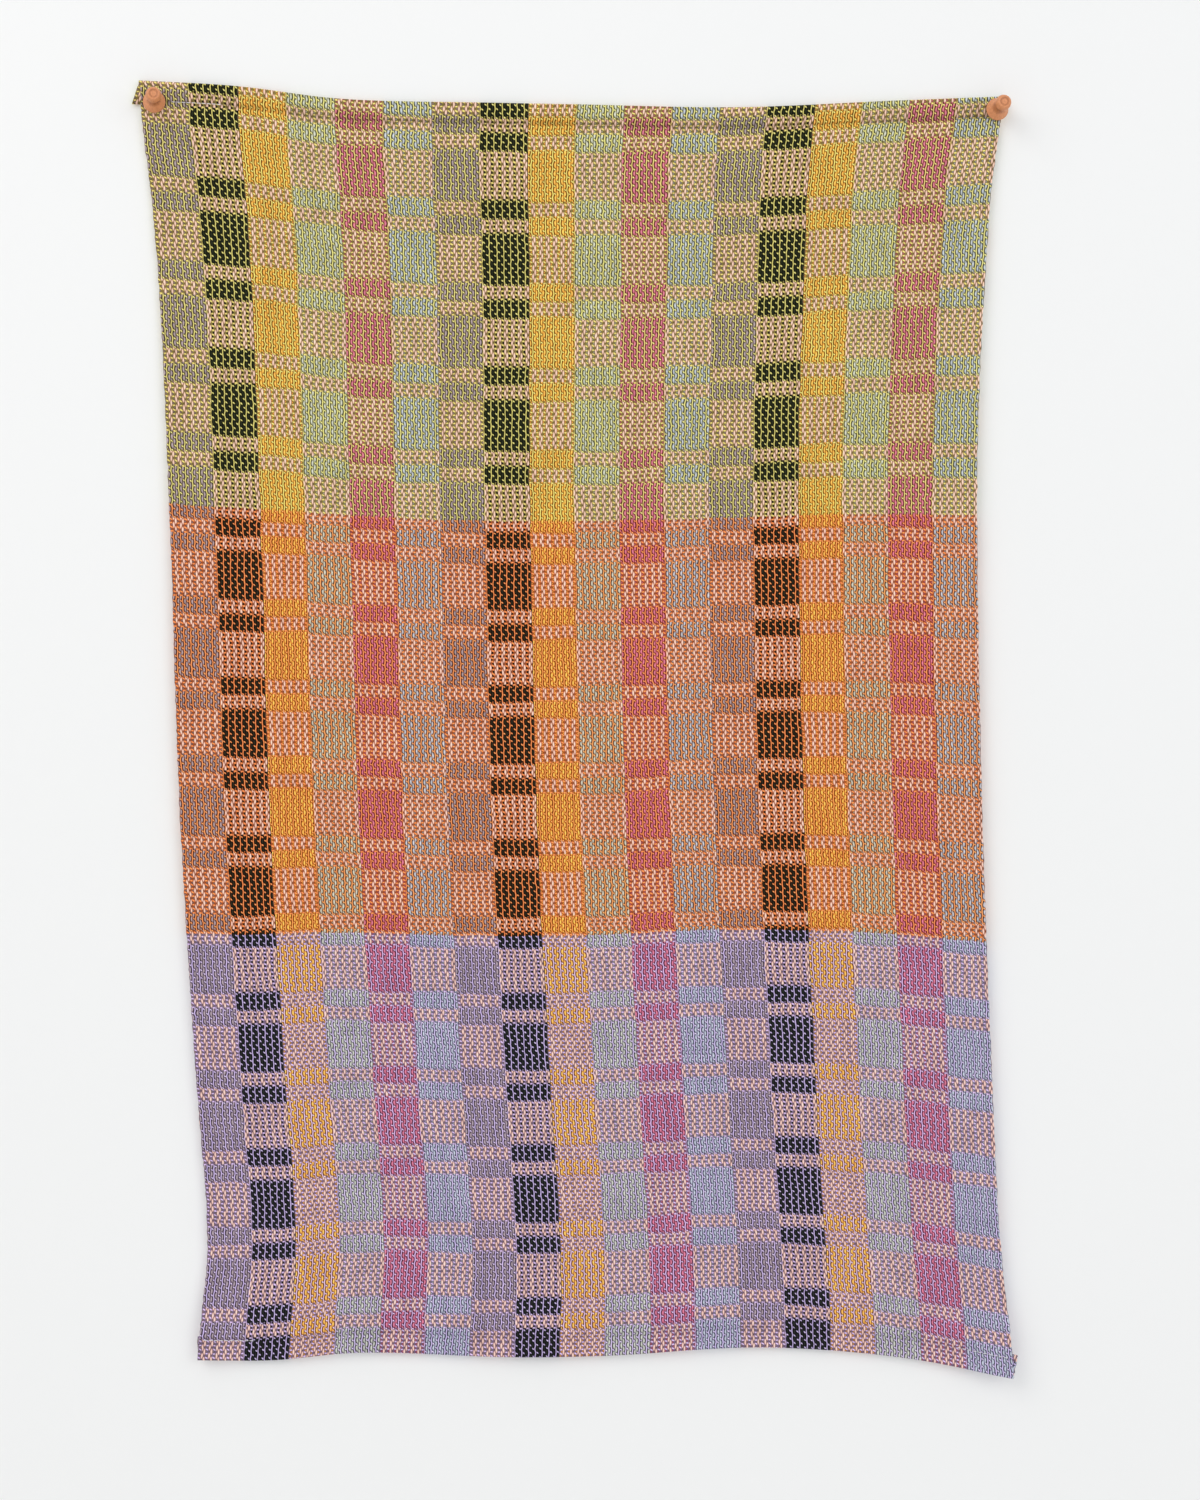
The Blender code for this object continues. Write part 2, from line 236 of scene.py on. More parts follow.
# %% Turn lengths of cloth into picks
PICK_HEIGHTS = {"olive": 1.245 * MM, "orange": 1.150 * MM, "lavender": 1.137 * MM}
FOLD_PLACES = (0.0, 0.4, 1.0)
TOP_FOLD_PICKS = (-19.5, -23.0, -18.0)
BOTTOM_FOLD_PICKS = (611.0, 615.0, 615.5)
FIRST_PICK = -52.0
LAST_PICK = 648.0
PICKS = LAST_PICK - FIRST_PICK


def cloth_length(pick):
    """Length of cloth from pick 0 to a pick, below zero above it."""
    knots = np.array([FIRST_PICK, ORANGE_FROM, LAVENDER_FROM, LAST_PICK])
    steps = np.diff(knots) * np.array(list(PICK_HEIGHTS.values()))
    lengths = np.concatenate([[0], np.cumsum(steps)]) + FIRST_PICK * PICK_HEIGHTS["olive"]
    return np.interp(pick, knots, lengths)


def pick_at(length):
    """The pick at a length of cloth from pick 0."""
    picks = np.linspace(FIRST_PICK, LAST_PICK, 1401)
    return np.interp(length, cloth_length(picks), picks)


print("cloth between the folds:", round(cloth_length(615) - cloth_length(-23), 4), "m")

# %% [markdown]
# ## The outline, read off the model
#
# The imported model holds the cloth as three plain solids. Their silhouette is the true outline: the
# sagging top fold, the sides that draw in below the pins and the bottom fold with its dropped
# corner. Slicing the solids gives points on it, and a smooth curve is run through them.

# %% Slice the solids
def cad_edges(*nodes):
    """Both ends of every triangle edge of these solids, as two arrays of places."""
    starts, ends = [], []
    for name in nodes:
        mesh = frame["nodes"][name].data
        places = np.array([vertex.co for vertex in mesh.vertices])
        pairs = np.array([edge.vertices for edge in mesh.edges])
        starts.append(places[pairs[:, 0]])
        ends.append(places[pairs[:, 1]])
    return np.vstack(starts), np.vstack(ends)


def slice_reach(edges, axis, at, other):
    """Lowest and highest reach along one axis where a plane cuts the edges."""
    starts, ends = edges
    low, high = np.minimum(starts[:, axis], ends[:, axis]), np.maximum(starts[:, axis], ends[:, axis])
    cut = (low <= at) & (high >= at) & (high - low > 1e-7)
    share = (at - starts[cut, axis]) / (ends[cut, axis] - starts[cut, axis])
    reach = starts[cut, other] + share * (ends[cut, other] - starts[cut, other])
    return reach.min(), reach.max()


X, Y, Z = range(3)
cloth_edges = cad_edges("top_hem", "woven_panel", "bottom_hem")
top_edges = cad_edges("top_hem")
bottom_edges = cad_edges("bottom_hem")
print(len(cloth_edges[0]), "edges on the cloth solids")

# %% Run smooth curves through the slices
def curve_through(knots, values, at):
    """A smooth cubic through values that are known at the knots."""
    slopes = np.gradient(values, knots)
    i = np.clip(np.searchsorted(knots, at) - 1, 0, len(knots) - 2)
    span = knots[i + 1] - knots[i]
    t = np.clip((at - knots[i]) / span, 0, 1)
    return (
        (2 * t**3 - 3 * t**2 + 1) * values[i]
        + (t**3 - 2 * t**2 + t) * span * slopes[i]
        + (3 * t**2 - 2 * t**3) * values[i + 1]
        + (t**3 - t**2) * span * slopes[i + 1]
    )


def sliced_curve(edges, axis, other, start, end, count, highest):
    """Knots and reaches along one side of the outline."""
    inset = (end - start) * 1e-4
    knots = np.linspace(start + inset, end - inset, count)
    reaches = [slice_reach(edges, axis, at, other)[highest] for at in knots]
    return knots, np.array(reaches)


top_low, top_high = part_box("top_hem")
bottom_low, bottom_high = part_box("bottom_hem")
SIDE_KNOTS = 27
FOLD_KNOTS = 31
top_curve = sliced_curve(top_edges, X, Z, top_low.x, top_high.x, FOLD_KNOTS, 1)
bottom_curve = sliced_curve(bottom_edges, X, Z, bottom_low.x, bottom_high.x, FOLD_KNOTS, 0)
left_curve = sliced_curve(cloth_edges, Z, X, bottom_curve[1][0], top_curve[1][0], SIDE_KNOTS, 0)
right_curve = sliced_curve(cloth_edges, Z, X, bottom_curve[1][-1], top_curve[1][-1], SIDE_KNOTS, 1)
print("top fold from", top_curve[1][0].round(4), "to", top_curve[1][-1].round(4), "m high")

# %% [markdown]
# A place on the front of the cloth is named by two shares: how far across it is, by ends, and how
# far down it is between the folds. The pins pull the stripes a little to the right near the top,
# which a small extra shift follows.

# %% Find a place on the front of the cloth
STRIPE_SHIFT = 0.0055
SHIFT_ENDS_AT = 0.6


def ease(value, start, end):
    """Goes smoothly from 0 at start to 1 at end."""
    share = np.clip((value - start) / (end - start), 0, 1)
    return share * share * (3 - 2 * share)


def fold_heights(across):
    """Height of the top fold and of the bottom fold at a share across."""
    top_x = top_low.x + across * (top_high.x - top_low.x)
    bottom_x = bottom_low.x + across * (bottom_high.x - bottom_low.x)
    return curve_through(*top_curve, top_x), curve_through(*bottom_curve, bottom_x)


def front_place(across, down):
    """x and z on the front of the cloth."""
    top, bottom = fold_heights(across)
    height = top + (bottom - top) * down
    corner_tops, corner_bottoms = fold_heights(np.array([0.0, 1.0]))
    side_heights = [t + (b - t) * down for t, b in zip(corner_tops, corner_bottoms)]
    left = curve_through(*left_curve, side_heights[0])
    right = curve_through(*right_curve, side_heights[1])
    shift = STRIPE_SHIFT * np.sin(math.pi * across) * (1 - ease(down, 0, SHIFT_ENDS_AT))
    return left + (right - left) * (across + shift), height


def fold_picks(across):
    """The picks on the top fold and on the bottom fold at a share across."""
    top = curve_through(np.array(FOLD_PLACES), np.array(TOP_FOLD_PICKS), across)
    bottom = curve_through(np.array(FOLD_PLACES), np.array(BOTTOM_FOLD_PICKS), across)
    return top, bottom


middle = front_place(np.array([0.5]), np.array([0.5]))
print("middle of the cloth, mm:", [round(float(v[0]) / MM, 1) for v in middle])

# %% [markdown]
# ## The cloth's line through a hem
#
# Seen from the side, the cloth is one strip. It starts at a raw edge hidden in the hem, runs
# down as the middle layer, turns, comes back up against the wall, folds over the top and becomes
# the front. The bottom hem is the same line upside down. Solid layers could only imitate this.
# One strip that truly turns gives the rounded fold and the layered ends that the real hem shows.

# %% Draw the line through a hem
CLOTH_THICKNESS = 1.0 * MM
LAYER = 1.1 * MM
HEM_DEPTH = 14 * MM
RAW_EDGE_DEPTH = 3.5 * MM
BACK_LAYER_Y = top_high.y - LAYER / 2
MIDDLE_LAYER_Y = BACK_LAYER_Y - LAYER
FRONT_LAYER_Y = MIDDLE_LAYER_Y - LAYER


def half_turn(depth, y, radius, start, end, steps):
    """Points round a fold, as depths below the hem's fold and y."""
    angles = np.linspace(start, end, steps + 1)[1:]
    return np.stack([depth + radius * np.sin(angles), y + radius * np.cos(angles)], 1)


def run(start, end, y, steps):
    """Points down or up one layer."""
    depths = np.linspace(start, end, steps + 1)[1:]
    return np.stack([depths, np.full(steps, y)], 1)


def hem_line():
    """Depth below the fold, y, and cloth length from the raw edge, out to the front layer."""
    top_turn = LAYER + CLOTH_THICKNESS / 2
    low_turn = HEM_DEPTH - (LAYER + CLOTH_THICKNESS) / 2
    line = np.vstack([
        [[RAW_EDGE_DEPTH, MIDDLE_LAYER_Y]],
        run(RAW_EDGE_DEPTH, low_turn, MIDDLE_LAYER_Y, 4),
        half_turn(low_turn, (MIDDLE_LAYER_Y + BACK_LAYER_Y) / 2, LAYER / 2, math.pi, 0, 6),
        run(low_turn, top_turn, BACK_LAYER_Y, 6),
        half_turn(top_turn, MIDDLE_LAYER_Y, LAYER, 2 * math.pi, math.pi, 10),
    ])
    steps = np.linalg.norm(np.diff(line, axis=0), axis=1)
    return line[:, 0], line[:, 1], np.concatenate([[0], np.cumsum(steps)])


hem_depths, hem_ys, hem_lengths = hem_line()
print(len(hem_depths), "rows in a hem, which takes", round(hem_lengths[-1] / MM, 1), "mm of cloth")

# %% [markdown]
# ## How the cloth lies
#
# The hems are three layers thick and the panel only one, so below the top hem the panel settles
# back towards the wall. It never lies quite flat. The sides lift a little where they draw in,
# the bottom corners curl, and long shallow folds run down from the pins. A cloth simulation would
# need the whole outline pinned to keep its true shape, and would then only add such folds, so they
# are listed here, each as a low smooth swell.

# %% Name the swells
# Each swell is a place across and down, how far it reaches across and down, and its height.
SWELLS = {
    "right_side": (1.02, 0.55, 0.10, 0.60, 4.2 * MM),
    "right_side_low": (1.00, 0.90, 0.06, 0.16, 2.0 * MM),
    "left_side": (-0.02, 0.60, 0.06, 0.50, 2.2 * MM),
    "right_corner": (1.00, 1.00, 0.07, 0.05, 5.0 * MM),
    "left_corner": (0.00, 1.00, 0.05, 0.04, 2.6 * MM),
    "bottom_middle": (0.45, 1.00, 0.30, 0.10, 1.6 * MM),
    "under_left_pin": (0.16, 0.20, 0.10, 0.26, 1.3 * MM),
    "under_right_pin": (0.86, 0.22, 0.09, 0.30, 1.5 * MM),
}
FOLD_COUNT, FOLD_SLANT = 4.3, 0.6
FOLD_HEIGHT = 0.55 * MM
FOLDS_START, FOLDS_FULL = 0.05, 0.5
STANDS_OFF_BY = 0.3
HELD_DOWN_TO, FREE_FROM = 0.015, 0.08
SETTLE_DEPTH = 45 * MM
SETTLED_Y = BACK_LAYER_Y - 0.5 * MM


def lift(across, down):
    """How far the cloth stands off its resting place."""
    height = np.zeros_like(across + down)
    for place, depth, width, length, rise in SWELLS.values():
        spread = ((across - place) / width) ** 2 + ((down - depth) / length) ** 2
        height = height + rise * np.exp(-spread)
    wave = np.sin(2 * math.pi * (FOLD_COUNT * across + FOLD_SLANT * down))
    wave = wave * ease(down, FOLDS_START, FOLDS_FULL)
    height = height + FOLD_HEIGHT * (1 + wave) * ease(down, FOLDS_START, STANDS_OFF_BY)
    return height * ease(down, HELD_DOWN_TO, FREE_FROM)


def drop_at(across):
    """Length of the cloth's front at a share across."""
    top, bottom = fold_heights(across)
    return top - bottom


print("right side stands", round(float(lift(np.array(1.0), np.array(0.55))) / MM, 1), "mm off the wall")

# %% [markdown]
# A seam pulls the layers of a hem together, so it lies in a shallow groove. The front sinks the most
# and the back, which lies on the wall, a little less. A fainter second groove lies above it, where
# the cloth puckers. Both are bell curves of the depth below the fold, which is the simplest shape
# with a soft lip on each side.

# %% Sink the seams and settle the panel
SEAM_DEPTH = 12 * MM
SEAM_SINK = 0.85 * MM
SECOND_DENT_DEPTH = 8.2 * MM
SECOND_DENT_SINK = 0.3 * MM
SEAM_REACH = 1.5 * MM
BACK_SINK_SHARE = 0.6


def seam_sink(depth):
    """How far the seam pulls the front into the hem."""
    seam = SEAM_SINK * np.exp(-(((depth - SEAM_DEPTH) / SEAM_REACH) ** 2))
    dent = SECOND_DENT_SINK * np.exp(-(((depth - SECOND_DENT_DEPTH) / SEAM_REACH) ** 2))
    return seam + dent


def front_y(across, down):
    """y of the middle of the front layer."""
    drop = drop_at(across)
    from_hem = np.minimum(down, 1 - down) * drop
    settled = ease(from_hem, HEM_DEPTH, HEM_DEPTH + SETTLE_DEPTH)
    rest = FRONT_LAYER_Y + (SETTLED_Y - FRONT_LAYER_Y) * settled
    return rest + seam_sink(from_hem) - lift(across, down)


half_way = np.array([0.5])
on_seam = front_y(half_way, SEAM_DEPTH / drop_at(half_way))
print("the seam lies at y =", round(float(on_seam[0]) / MM, 2), "mm")

# %% [markdown]
# ## Laying the cloth out
#
# The flat cloth is a grid, as it came off the loom: columns along the warp and rows along the
# weft. Rows are close together where the cloth turns and further apart down the panel. Each
# corner of the grid is then moved to where that thread hangs, and a UV map keeps its thread
# numbers, so the weave follows the cloth through every fold. A value kept on each corner says how
# hard a seam squeezes the cloth there, and the weave reads it to paint shade into the groove.

# %% Plan the rows
PANEL_ROWS = 330
COLUMNS = 117
FRONT_START = hem_depths[-1]
SEAM_ROWS = 14
SEAM_ROWS_END = 19 * MM


def panel_rows():
    """Shares down the front, close together across the seams."""
    near = np.linspace(FRONT_START, SEAM_ROWS_END, SEAM_ROWS + 1) / float(drop_at(half_way)[0])
    far = np.linspace(near[-1], 1 - near[-1], PANEL_ROWS + 1)
    return np.concatenate([near[1:], far[1:-1], 1 - near[::-1][:-1]])


panel_shares = panel_rows()
hem_rows = len(hem_depths)
rows = hem_rows * 2 + len(panel_shares)
print(rows, "rows of", COLUMNS, "faces, which makes", 4 * (rows - 1) * COLUMNS, "triangles when thick")

# %% [markdown]
# The hems were folded by eye, so at three corners their back layers stick out past the front.
# Each such corner gets a slant: the layers behind shift sideways, more the further they are from
# the fold.

# %% Slant the folded corners
# Each slant is its sideways shift at the hem's inner edge, and how far across it dies out.
TOP_LEFT_SLANT = (-5.6 * MM, 0.16)
BOTTOM_LEFT_SLANT = (-1.3 * MM, 0.10)
BOTTOM_RIGHT_SLANT = (3.4 * MM, 0.12)


def hem_slant(across, depth, left, right):
    """Sideways shift of the layers behind the front of a hem."""
    share = np.clip(depth / HEM_DEPTH, 0, 1)
    at_left = left[0] * (1 - ease(across, 0, left[1])) if left else 0
    at_right = right[0] * ease(across, 1 - right[1], 1) if right else 0
    return (at_left + at_right) * share


def hem_places(across, bottom):
    """x, y, z and pick of the rows of a hem, from the raw edge to the front."""
    depth, y, length = (values[:, None] for values in (hem_depths, hem_ys, hem_lengths))
    from_fold = depth / drop_at(across)
    down = 1 - from_fold if bottom else from_fold
    x, z = front_place(across, down)
    slants = (BOTTOM_LEFT_SLANT, BOTTOM_RIGHT_SLANT) if bottom else (TOP_LEFT_SLANT, None)
    x = x + hem_slant(across, depth, *slants)
    back = np.abs(y - BACK_LAYER_Y) < LAYER / 4
    y = y - lift(across, down) - back * BACK_SINK_SHARE * seam_sink(depth)
    top_pick, bottom_pick = fold_picks(across)
    over = hem_lengths[-1] - FRONT_START - length
    if bottom:
        picks = bottom_pick + over / PICK_HEIGHTS["lavender"]
    else:
        picks = top_pick - over / PICK_HEIGHTS["olive"]
    return x, y + 0 * x, z, picks


print("the top left corner sticks out by", -TOP_LEFT_SLANT[0] / MM, "mm")

# %% [markdown]
# Now every row gets its place: the top hem from its raw edge outwards, the front from fold to fold,
# and the bottom hem back to its own raw edge. The same rows say how much shade is painted into the
# seam grooves. The bottom hem has no pins to hold it and was sewn more loosely, so its groove gets
# less painted shade.

# %% Place every row
# The bottom seam's share of the shade painted into the seam grooves.
LOW_SEAM_SHADE_SHARE = 0.4
LOOSER_FROM, LOOSER_TO = 0.3, 0.7


def front_places(across, down):
    """x, y, z and pick of the rows of the front."""
    x, z = front_place(across, down)
    top_pick, bottom_pick = fold_picks(across)
    start, end = cloth_length(top_pick), cloth_length(bottom_pick)
    return x, front_y(across, down), z, pick_at(start + (end - start) * down)


across = np.linspace(0, 1, COLUMNS + 1)[None, :]
from_folds = np.minimum(panel_shares, 1 - panel_shares)[:, None] * drop_at(across)
# The mask of the shade painted into the seam grooves, from how deep each seam sinks the cloth.
hem_seam_shade = seam_sink(hem_depths[:, None] + 0 * across)
seam_shade_falloff = 1 - (1 - LOW_SEAM_SHADE_SHARE) * ease(panel_shares[:, None], LOOSER_FROM, LOOSER_TO)
front_seam_shade = seam_sink(from_folds) * seam_shade_falloff
cloth_seam_shade = np.vstack([hem_seam_shade, front_seam_shade, hem_seam_shade[::-1] * LOW_SEAM_SHADE_SHARE]) / SEAM_SINK
parts = [
    hem_places(across, bottom=False),
    front_places(across, panel_shares[:, None]),
    [values[::-1] for values in hem_places(across, bottom=True)],
]
cloth_x, cloth_y, cloth_z, cloth_picks = (np.vstack(values) for values in zip(*parts))
print("picks from", cloth_picks.min().round(1), "to", cloth_picks.max().round(1))

# %% [markdown]
# The selvedges are not ruler-straight. Each time the weft turns round the last end it leaves a
# small loop, and some turns were pulled tighter than others. The outer column of the grid wanders
# by a third of a millimetre, from a fixed seed so that it is the same every time.

# %% Make the selvedges uneven
SELVEDGE_WANDER = 0.32 * MM
chance = np.random.default_rng(24)
for column, inward in ((0, 1), (-1, -1)):
    loops = chance.uniform(-1, 1, rows)
    cloth_x[:, column] += inward * SELVEDGE_WANDER * loops
print("selvedges wander by", SELVEDGE_WANDER / MM, "mm")

# %% [markdown]
# The cloth starts as a primitive grid with as many columns and rows as were planned. Its corners
# could be pushed about by hand, but there are nearly fifty thousand, so all are set in one call
# from the places just worked out. The thread numbers go into its UV map in the same way.

# %% Lay the grid and hang it
def woven_grid():
    """A flat grid whose corners are moved to the hanging cloth's places."""
    bpy.ops.mesh.primitive_grid_add(x_subdivisions=COLUMNS, y_subdivisions=rows - 1, size=1)
    cloth = bpy.context.object
    cloth.name = cloth.data.name = "woven_cloth"
    flat = np.empty(len(cloth.data.vertices) * 3)
    cloth.data.vertices.foreach_get("co", flat)
    flat = flat.reshape(-1, 3)
    column = np.rint((flat[:, 0] + 0.5) * COLUMNS).astype(int)
    row = np.rint((0.5 - flat[:, 1]) * (rows - 1)).astype(int)
    places = np.stack([grid[row, column] for grid in (cloth_x, cloth_y, cloth_z)], 1)
    cloth.data.vertices.foreach_set("co", places.ravel())
    return cloth, column, row


def number_the_threads(cloth, column, row):
    """Writes each corner's end and pick to the UV map, as shares of the whole cloth."""
    uv_map = cloth.data.uv_layers.active
    uv_map.name = "threads"
    corners = np.empty(len(cloth.data.loops), dtype=np.int32)
    cloth.data.loops.foreach_get("vertex_index", corners)
    end_share = column[corners] / COLUMNS
    pick_share = (cloth_picks[row[corners], column[corners]] - FIRST_PICK) / PICKS
    uv_map.data.foreach_set("uv", np.stack([end_share, pick_share], 1).ravel())


def mark_seam_shade(cloth, column, row):
    """Keeps how hard the seams press each corner, from 0 to 1: the mask of painted groove shade."""
    seam_shade = cloth.data.attributes.new("seam_shade", "FLOAT", "POINT")
    shares = np.clip(cloth_seam_shade[row, column], 0, 1)
    seam_shade.data.foreach_set("value", shares.astype(np.float32))


cloth, column, row = woven_grid()
number_the_threads(cloth, column, row)
mark_seam_shade(cloth, column, row)
bpy.ops.object.shade_smooth()
print("the sheet has", len(cloth.data.polygons), "faces")

# %% [markdown]
# The flat sheet gets its thickness from a Solidify modifier, half to each side. The modifier also
# tells the reverse and the selvedges apart by giving them the next two material slots.

# %% Thicken the cloth
def empty_material(name):
    """A material with only its output node."""
    material = bpy.data.materials.new(name)
    material.use_nodes = True
    material.node_tree.nodes.remove(material.node_tree.nodes["Principled BSDF"])
    return material


for name in ("weave_front", "weave_reverse", "weave_selvedge"):
    cloth.data.materials.append(empty_material(name))
solidify = cloth.modifiers.new("thickness", "SOLIDIFY")
solidify.thickness = CLOTH_THICKNESS
solidify.offset = 0
solidify.material_offset = 1
solidify.material_offset_rim = 2
bpy.ops.object.modifier_apply(modifier=solidify.name)
bpy.ops.object.shade_smooth_by_angle(angle=math.radians(60))
front_normal = cloth.data.polygons[len(cloth.data.polygons) // 4].normal
print("front faces point along", [round(v, 2) for v in front_normal])
print("the cloth spans, mm:", [round(v / MM, 1) for v in cloth.dimensions])

# %% [markdown]
# ## Node sums written as sums
#
# The weave is worked out in the shader from thread numbers, and that takes a few hundred Math
# nodes. Wiring them by name would be hard to read, so a small class lets a socket be added,
# multiplied and compared like a number. Each sum still makes one ordinary node.

# %% A socket that works like a number
class Wire:
    """A number on a socket. Sums on it add Math nodes to its tree."""

    def __init__(self, socket):
        self.socket = socket
        self.tree = socket.id_data

    def math(self, operation, *others):
        node = self.tree.nodes.new("ShaderNodeMath")
        node.operation = operation
        for value, socket in zip((self, *others), node.inputs):
            feed(self.tree, value, socket)
        return Wire(node.outputs[0])

    def __add__(self, other):
        return self.math("ADD", other)

    def __sub__(self, other):
        return self.math("SUBTRACT", other)

    def __mul__(self, other):
        return self.math("MULTIPLY", other)

    def __truediv__(self, other):
        return self.math("DIVIDE", other)

    def __rsub__(self, other):
        return self.math("MULTIPLY_ADD", -1, other)

    __radd__, __rmul__ = __add__, __mul__


def feed(tree, value, socket):
    """Links a wire to a socket, or sets the socket to a plain value."""
    if isinstance(value, Wire):
        tree.links.new(value.socket, socket)
    elif value is not None:
        socket.default_value = value


print("sockets can be added and multiplied")

# %% Shapes made from sums
def squared(wire):
    return wire * wire


def fract(wire):
    return wire.math("FRACT")


def floor_of(wire):
    return wire.math("FLOOR")


def wrapped(wire, period):
    """Distance from the nearest multiple of a period, with its sign."""
    return (fract(wire / period + 0.5) - 0.5) * period


def step_up(wire, low, high):
    """Goes smoothly from 0 to 1 between low and high."""
    node = wire.tree.nodes.new("ShaderNodeMapRange")
    node.interpolation_type = "SMOOTHSTEP"
    feed(wire.tree, wire, node.inputs["Value"])
    node.inputs["From Min"].default_value = low
    node.inputs["From Max"].default_value = high
    return Wire(node.outputs["Result"])


def mix(share, first, second):
    """Goes from the first number to the second as the share goes from 0 to 1."""
    return (second - first) * share + first


print("shapes are ready")

# %% [markdown]
# Colours are added and scaled with vector nodes, because a colour is three numbers too. A ramp
# reads one number through a list of colours, which is how a stripe finds its yarn.

# %% Add and scale colours
def colour_node(tree, kind, setting, *values):
    """A node that works on colours, and its colour output."""
    node = tree.nodes.new(kind)
    node.operation = setting
    for value, socket in zip(values, node.inputs):
        feed(tree, value, socket)
    return Wire(node.outputs[0])


def add_colours(*colours):
    total = colours[0]
    for colour in colours[1:]:
        total = colour_node(total.tree, "ShaderNodeVectorMath", "ADD", total, colour)
    return total


def scaled(colour, amount):
    """A colour times a number."""
    node = colour.tree.nodes.new("ShaderNodeVectorMath")
    node.operation = "SCALE"
    feed(colour.tree, colour, node.inputs[0])
    feed(colour.tree, amount, node.inputs["Scale"])
    return Wire(node.outputs[0])


def times(first, second):
    """One colour times another."""
    return colour_node(first.tree, "ShaderNodeVectorMath", "MULTIPLY", first, second)


def stops(wire, places, kind="CONSTANT"):
    """Reads a number through a ramp of (place, colour) stops."""
    node = wire.tree.nodes.new("ShaderNodeValToRGB")
    ramp = node.color_ramp
    ramp.interpolation = kind
    for i, (place, colour) in enumerate(places):
        stop = ramp.elements[i] if i < len(ramp.elements) else ramp.elements.new(place)
        stop.position = place
        stop.color = (*colour, 1)
    feed(wire.tree, wire, node.inputs[0])
    return Wire(node.outputs["Color"])


print("colours can be mixed")

# %% [markdown]
# A pattern has to know where on its piece it is. Cloth and thread read their UV maps, and wood reads
# a place kept on each point of the mesh, so a pattern stays put when its piece bends or pulls out.

# %% Read a place
def place_of(tree, x, y, z=0.0):
    """A vector made of three numbers."""
    node = tree.nodes.new("ShaderNodeCombineXYZ")
    for value, socket in zip((x, y, z), node.inputs):
        feed(tree, value, socket)
    return Wire(node.outputs[0])


def numbers_of(tree, socket):
    """The three numbers of a vector on a socket."""
    split = tree.nodes.new("ShaderNodeSeparateXYZ")
    tree.links.new(socket, split.inputs[0])
    return [Wire(split.outputs[axis]) for axis in "XYZ"]


def uv_place(tree, name):
    """The two numbers of a UV map."""
    uv_map = tree.nodes.new("ShaderNodeUVMap")
    uv_map.uv_map = name
    return numbers_of(tree, uv_map.outputs["UV"])[:2]


def attribute_of(tree, name):
    """The node that reads a value kept on the mesh."""
    reader = tree.nodes.new("ShaderNodeAttribute")
    reader.attribute_name = name
    return reader


print("places can be read")

# %% [markdown]
# Nothing handmade is even. Smooth noise gives slow changes, such as uneven dye, and white noise
# gives each thread a chance of its own.

# %% Noise and chance
def noise(vector, scale, detail=2.0):
    """Smooth noise from about -1 to 1."""
    node = vector.tree.nodes.new("ShaderNodeTexNoise")
    feed(vector.tree, vector, node.inputs["Vector"])
    node.inputs["Scale"].default_value = scale
    node.inputs["Detail"].default_value = detail
    return Wire(node.outputs["Fac"]) * 4 - 2


def chance_of(tree, x, y=0.0):
    """A random number from -1 to 1 for each whole x and y."""
    node = tree.nodes.new("ShaderNodeTexWhiteNoise")
    node.noise_dimensions = "2D"
    feed(tree, place_of(tree, x, y), node.inputs["Vector"])
    return Wire(node.outputs["Value"]) * 2 - 1


print("noise and chance run from about -1 to 1")

# %% [markdown]
# Three finishes follow: cloth, wood and wire. Each ends in one Principled shader, which gets its
# colour and roughness from sums, and a Bump node where the surface has a relief too fine to model.
# What is the same all over a surface is set on the shader's own socket.

# %% Put a finish on a material
def surface(material, colour, roughness):
    """A shader with this colour and roughness, linked to the material's output."""
    tree = material.node_tree
    shader = tree.nodes.new("ShaderNodeBsdfPrincipled")
    feed(tree, colour, shader.inputs["Base Color"])
    feed(tree, roughness, shader.inputs["Roughness"])
    tree.links.new(shader.outputs["BSDF"], tree.nodes["Material Output"].inputs["Surface"])
    return shader


def raise_relief(shader, height, distance, strength):
    """Tilts a shader's normals by a height that is 1 at the given distance."""
    tree = shader.id_data
    bump = tree.nodes.new("ShaderNodeBump")
    bump.inputs["Distance"].default_value = distance
    bump.inputs["Strength"].default_value = strength
    feed(tree, height, bump.inputs["Height"])
    tree.links.new(bump.outputs["Normal"], shader.inputs["Normal"])


print("a finish is a shader and a relief")

# %% [markdown]
# ## The weave
#
# Under a lens each block is made of pairs of lanes, four ends wide. Where a stripe shows its own
# yarn, its ends float over the weft in two rows of strokes that step from left to right, like a
# zigzag. The weft shows as a thin line between the pairs, and as a slanting dot where it ties a lane
# down, on every fourth pick. In the peach blocks the peach ends make the zigzag, and between two
# zigzags lie small dark beads of the stripe's own yarn and short dashes of weft.
#
# Each of those marks is a small field: above zero inside the mark, highest at its middle. The
# marks are placed by their distance, in ends and in picks, from the middle of a pair.

# %% Number the threads in the shader
WANDER, WANDER_THREADS = 0.5, 15
JITTER, JITTER_THREADS = 0.16, 2.6
SIDEWAYS_SEED, UPWAYS_SEED = 3.3, 8.8
PAIR_ENDS = 4
TIE_PICKS = 4


def threads(tree):
    """The end and the pick at this place, as numbers that wander a little."""
    end_share, pick_share = uv_place(tree, "threads")
    end = end_share * ENDS
    pick = pick_share * PICKS + FIRST_PICK
    for amount, reach in ((WANDER, WANDER_THREADS), (JITTER, JITTER_THREADS)):
        sideways = noise(place_of(tree, end, pick, SIDEWAYS_SEED), 1 / reach)
        upways = noise(place_of(tree, end, pick, UPWAYS_SEED), 1 / reach)
        end, pick = end + sideways * amount, pick + upways * amount
    return end, pick


def mark(across, along, width, length):
    """An oval field that is 1 at its middle and 0 on its rim."""
    return 1 - squared(across / width) - squared(along / length)


def higher(first, second):
    return first.math("MAXIMUM", second)


print("threads are numbered")

# %% Draw the strokes that float
STROKE_APART = 0.56
STROKE_WIDTH, STROKE_LENGTH = 0.72, 2.0


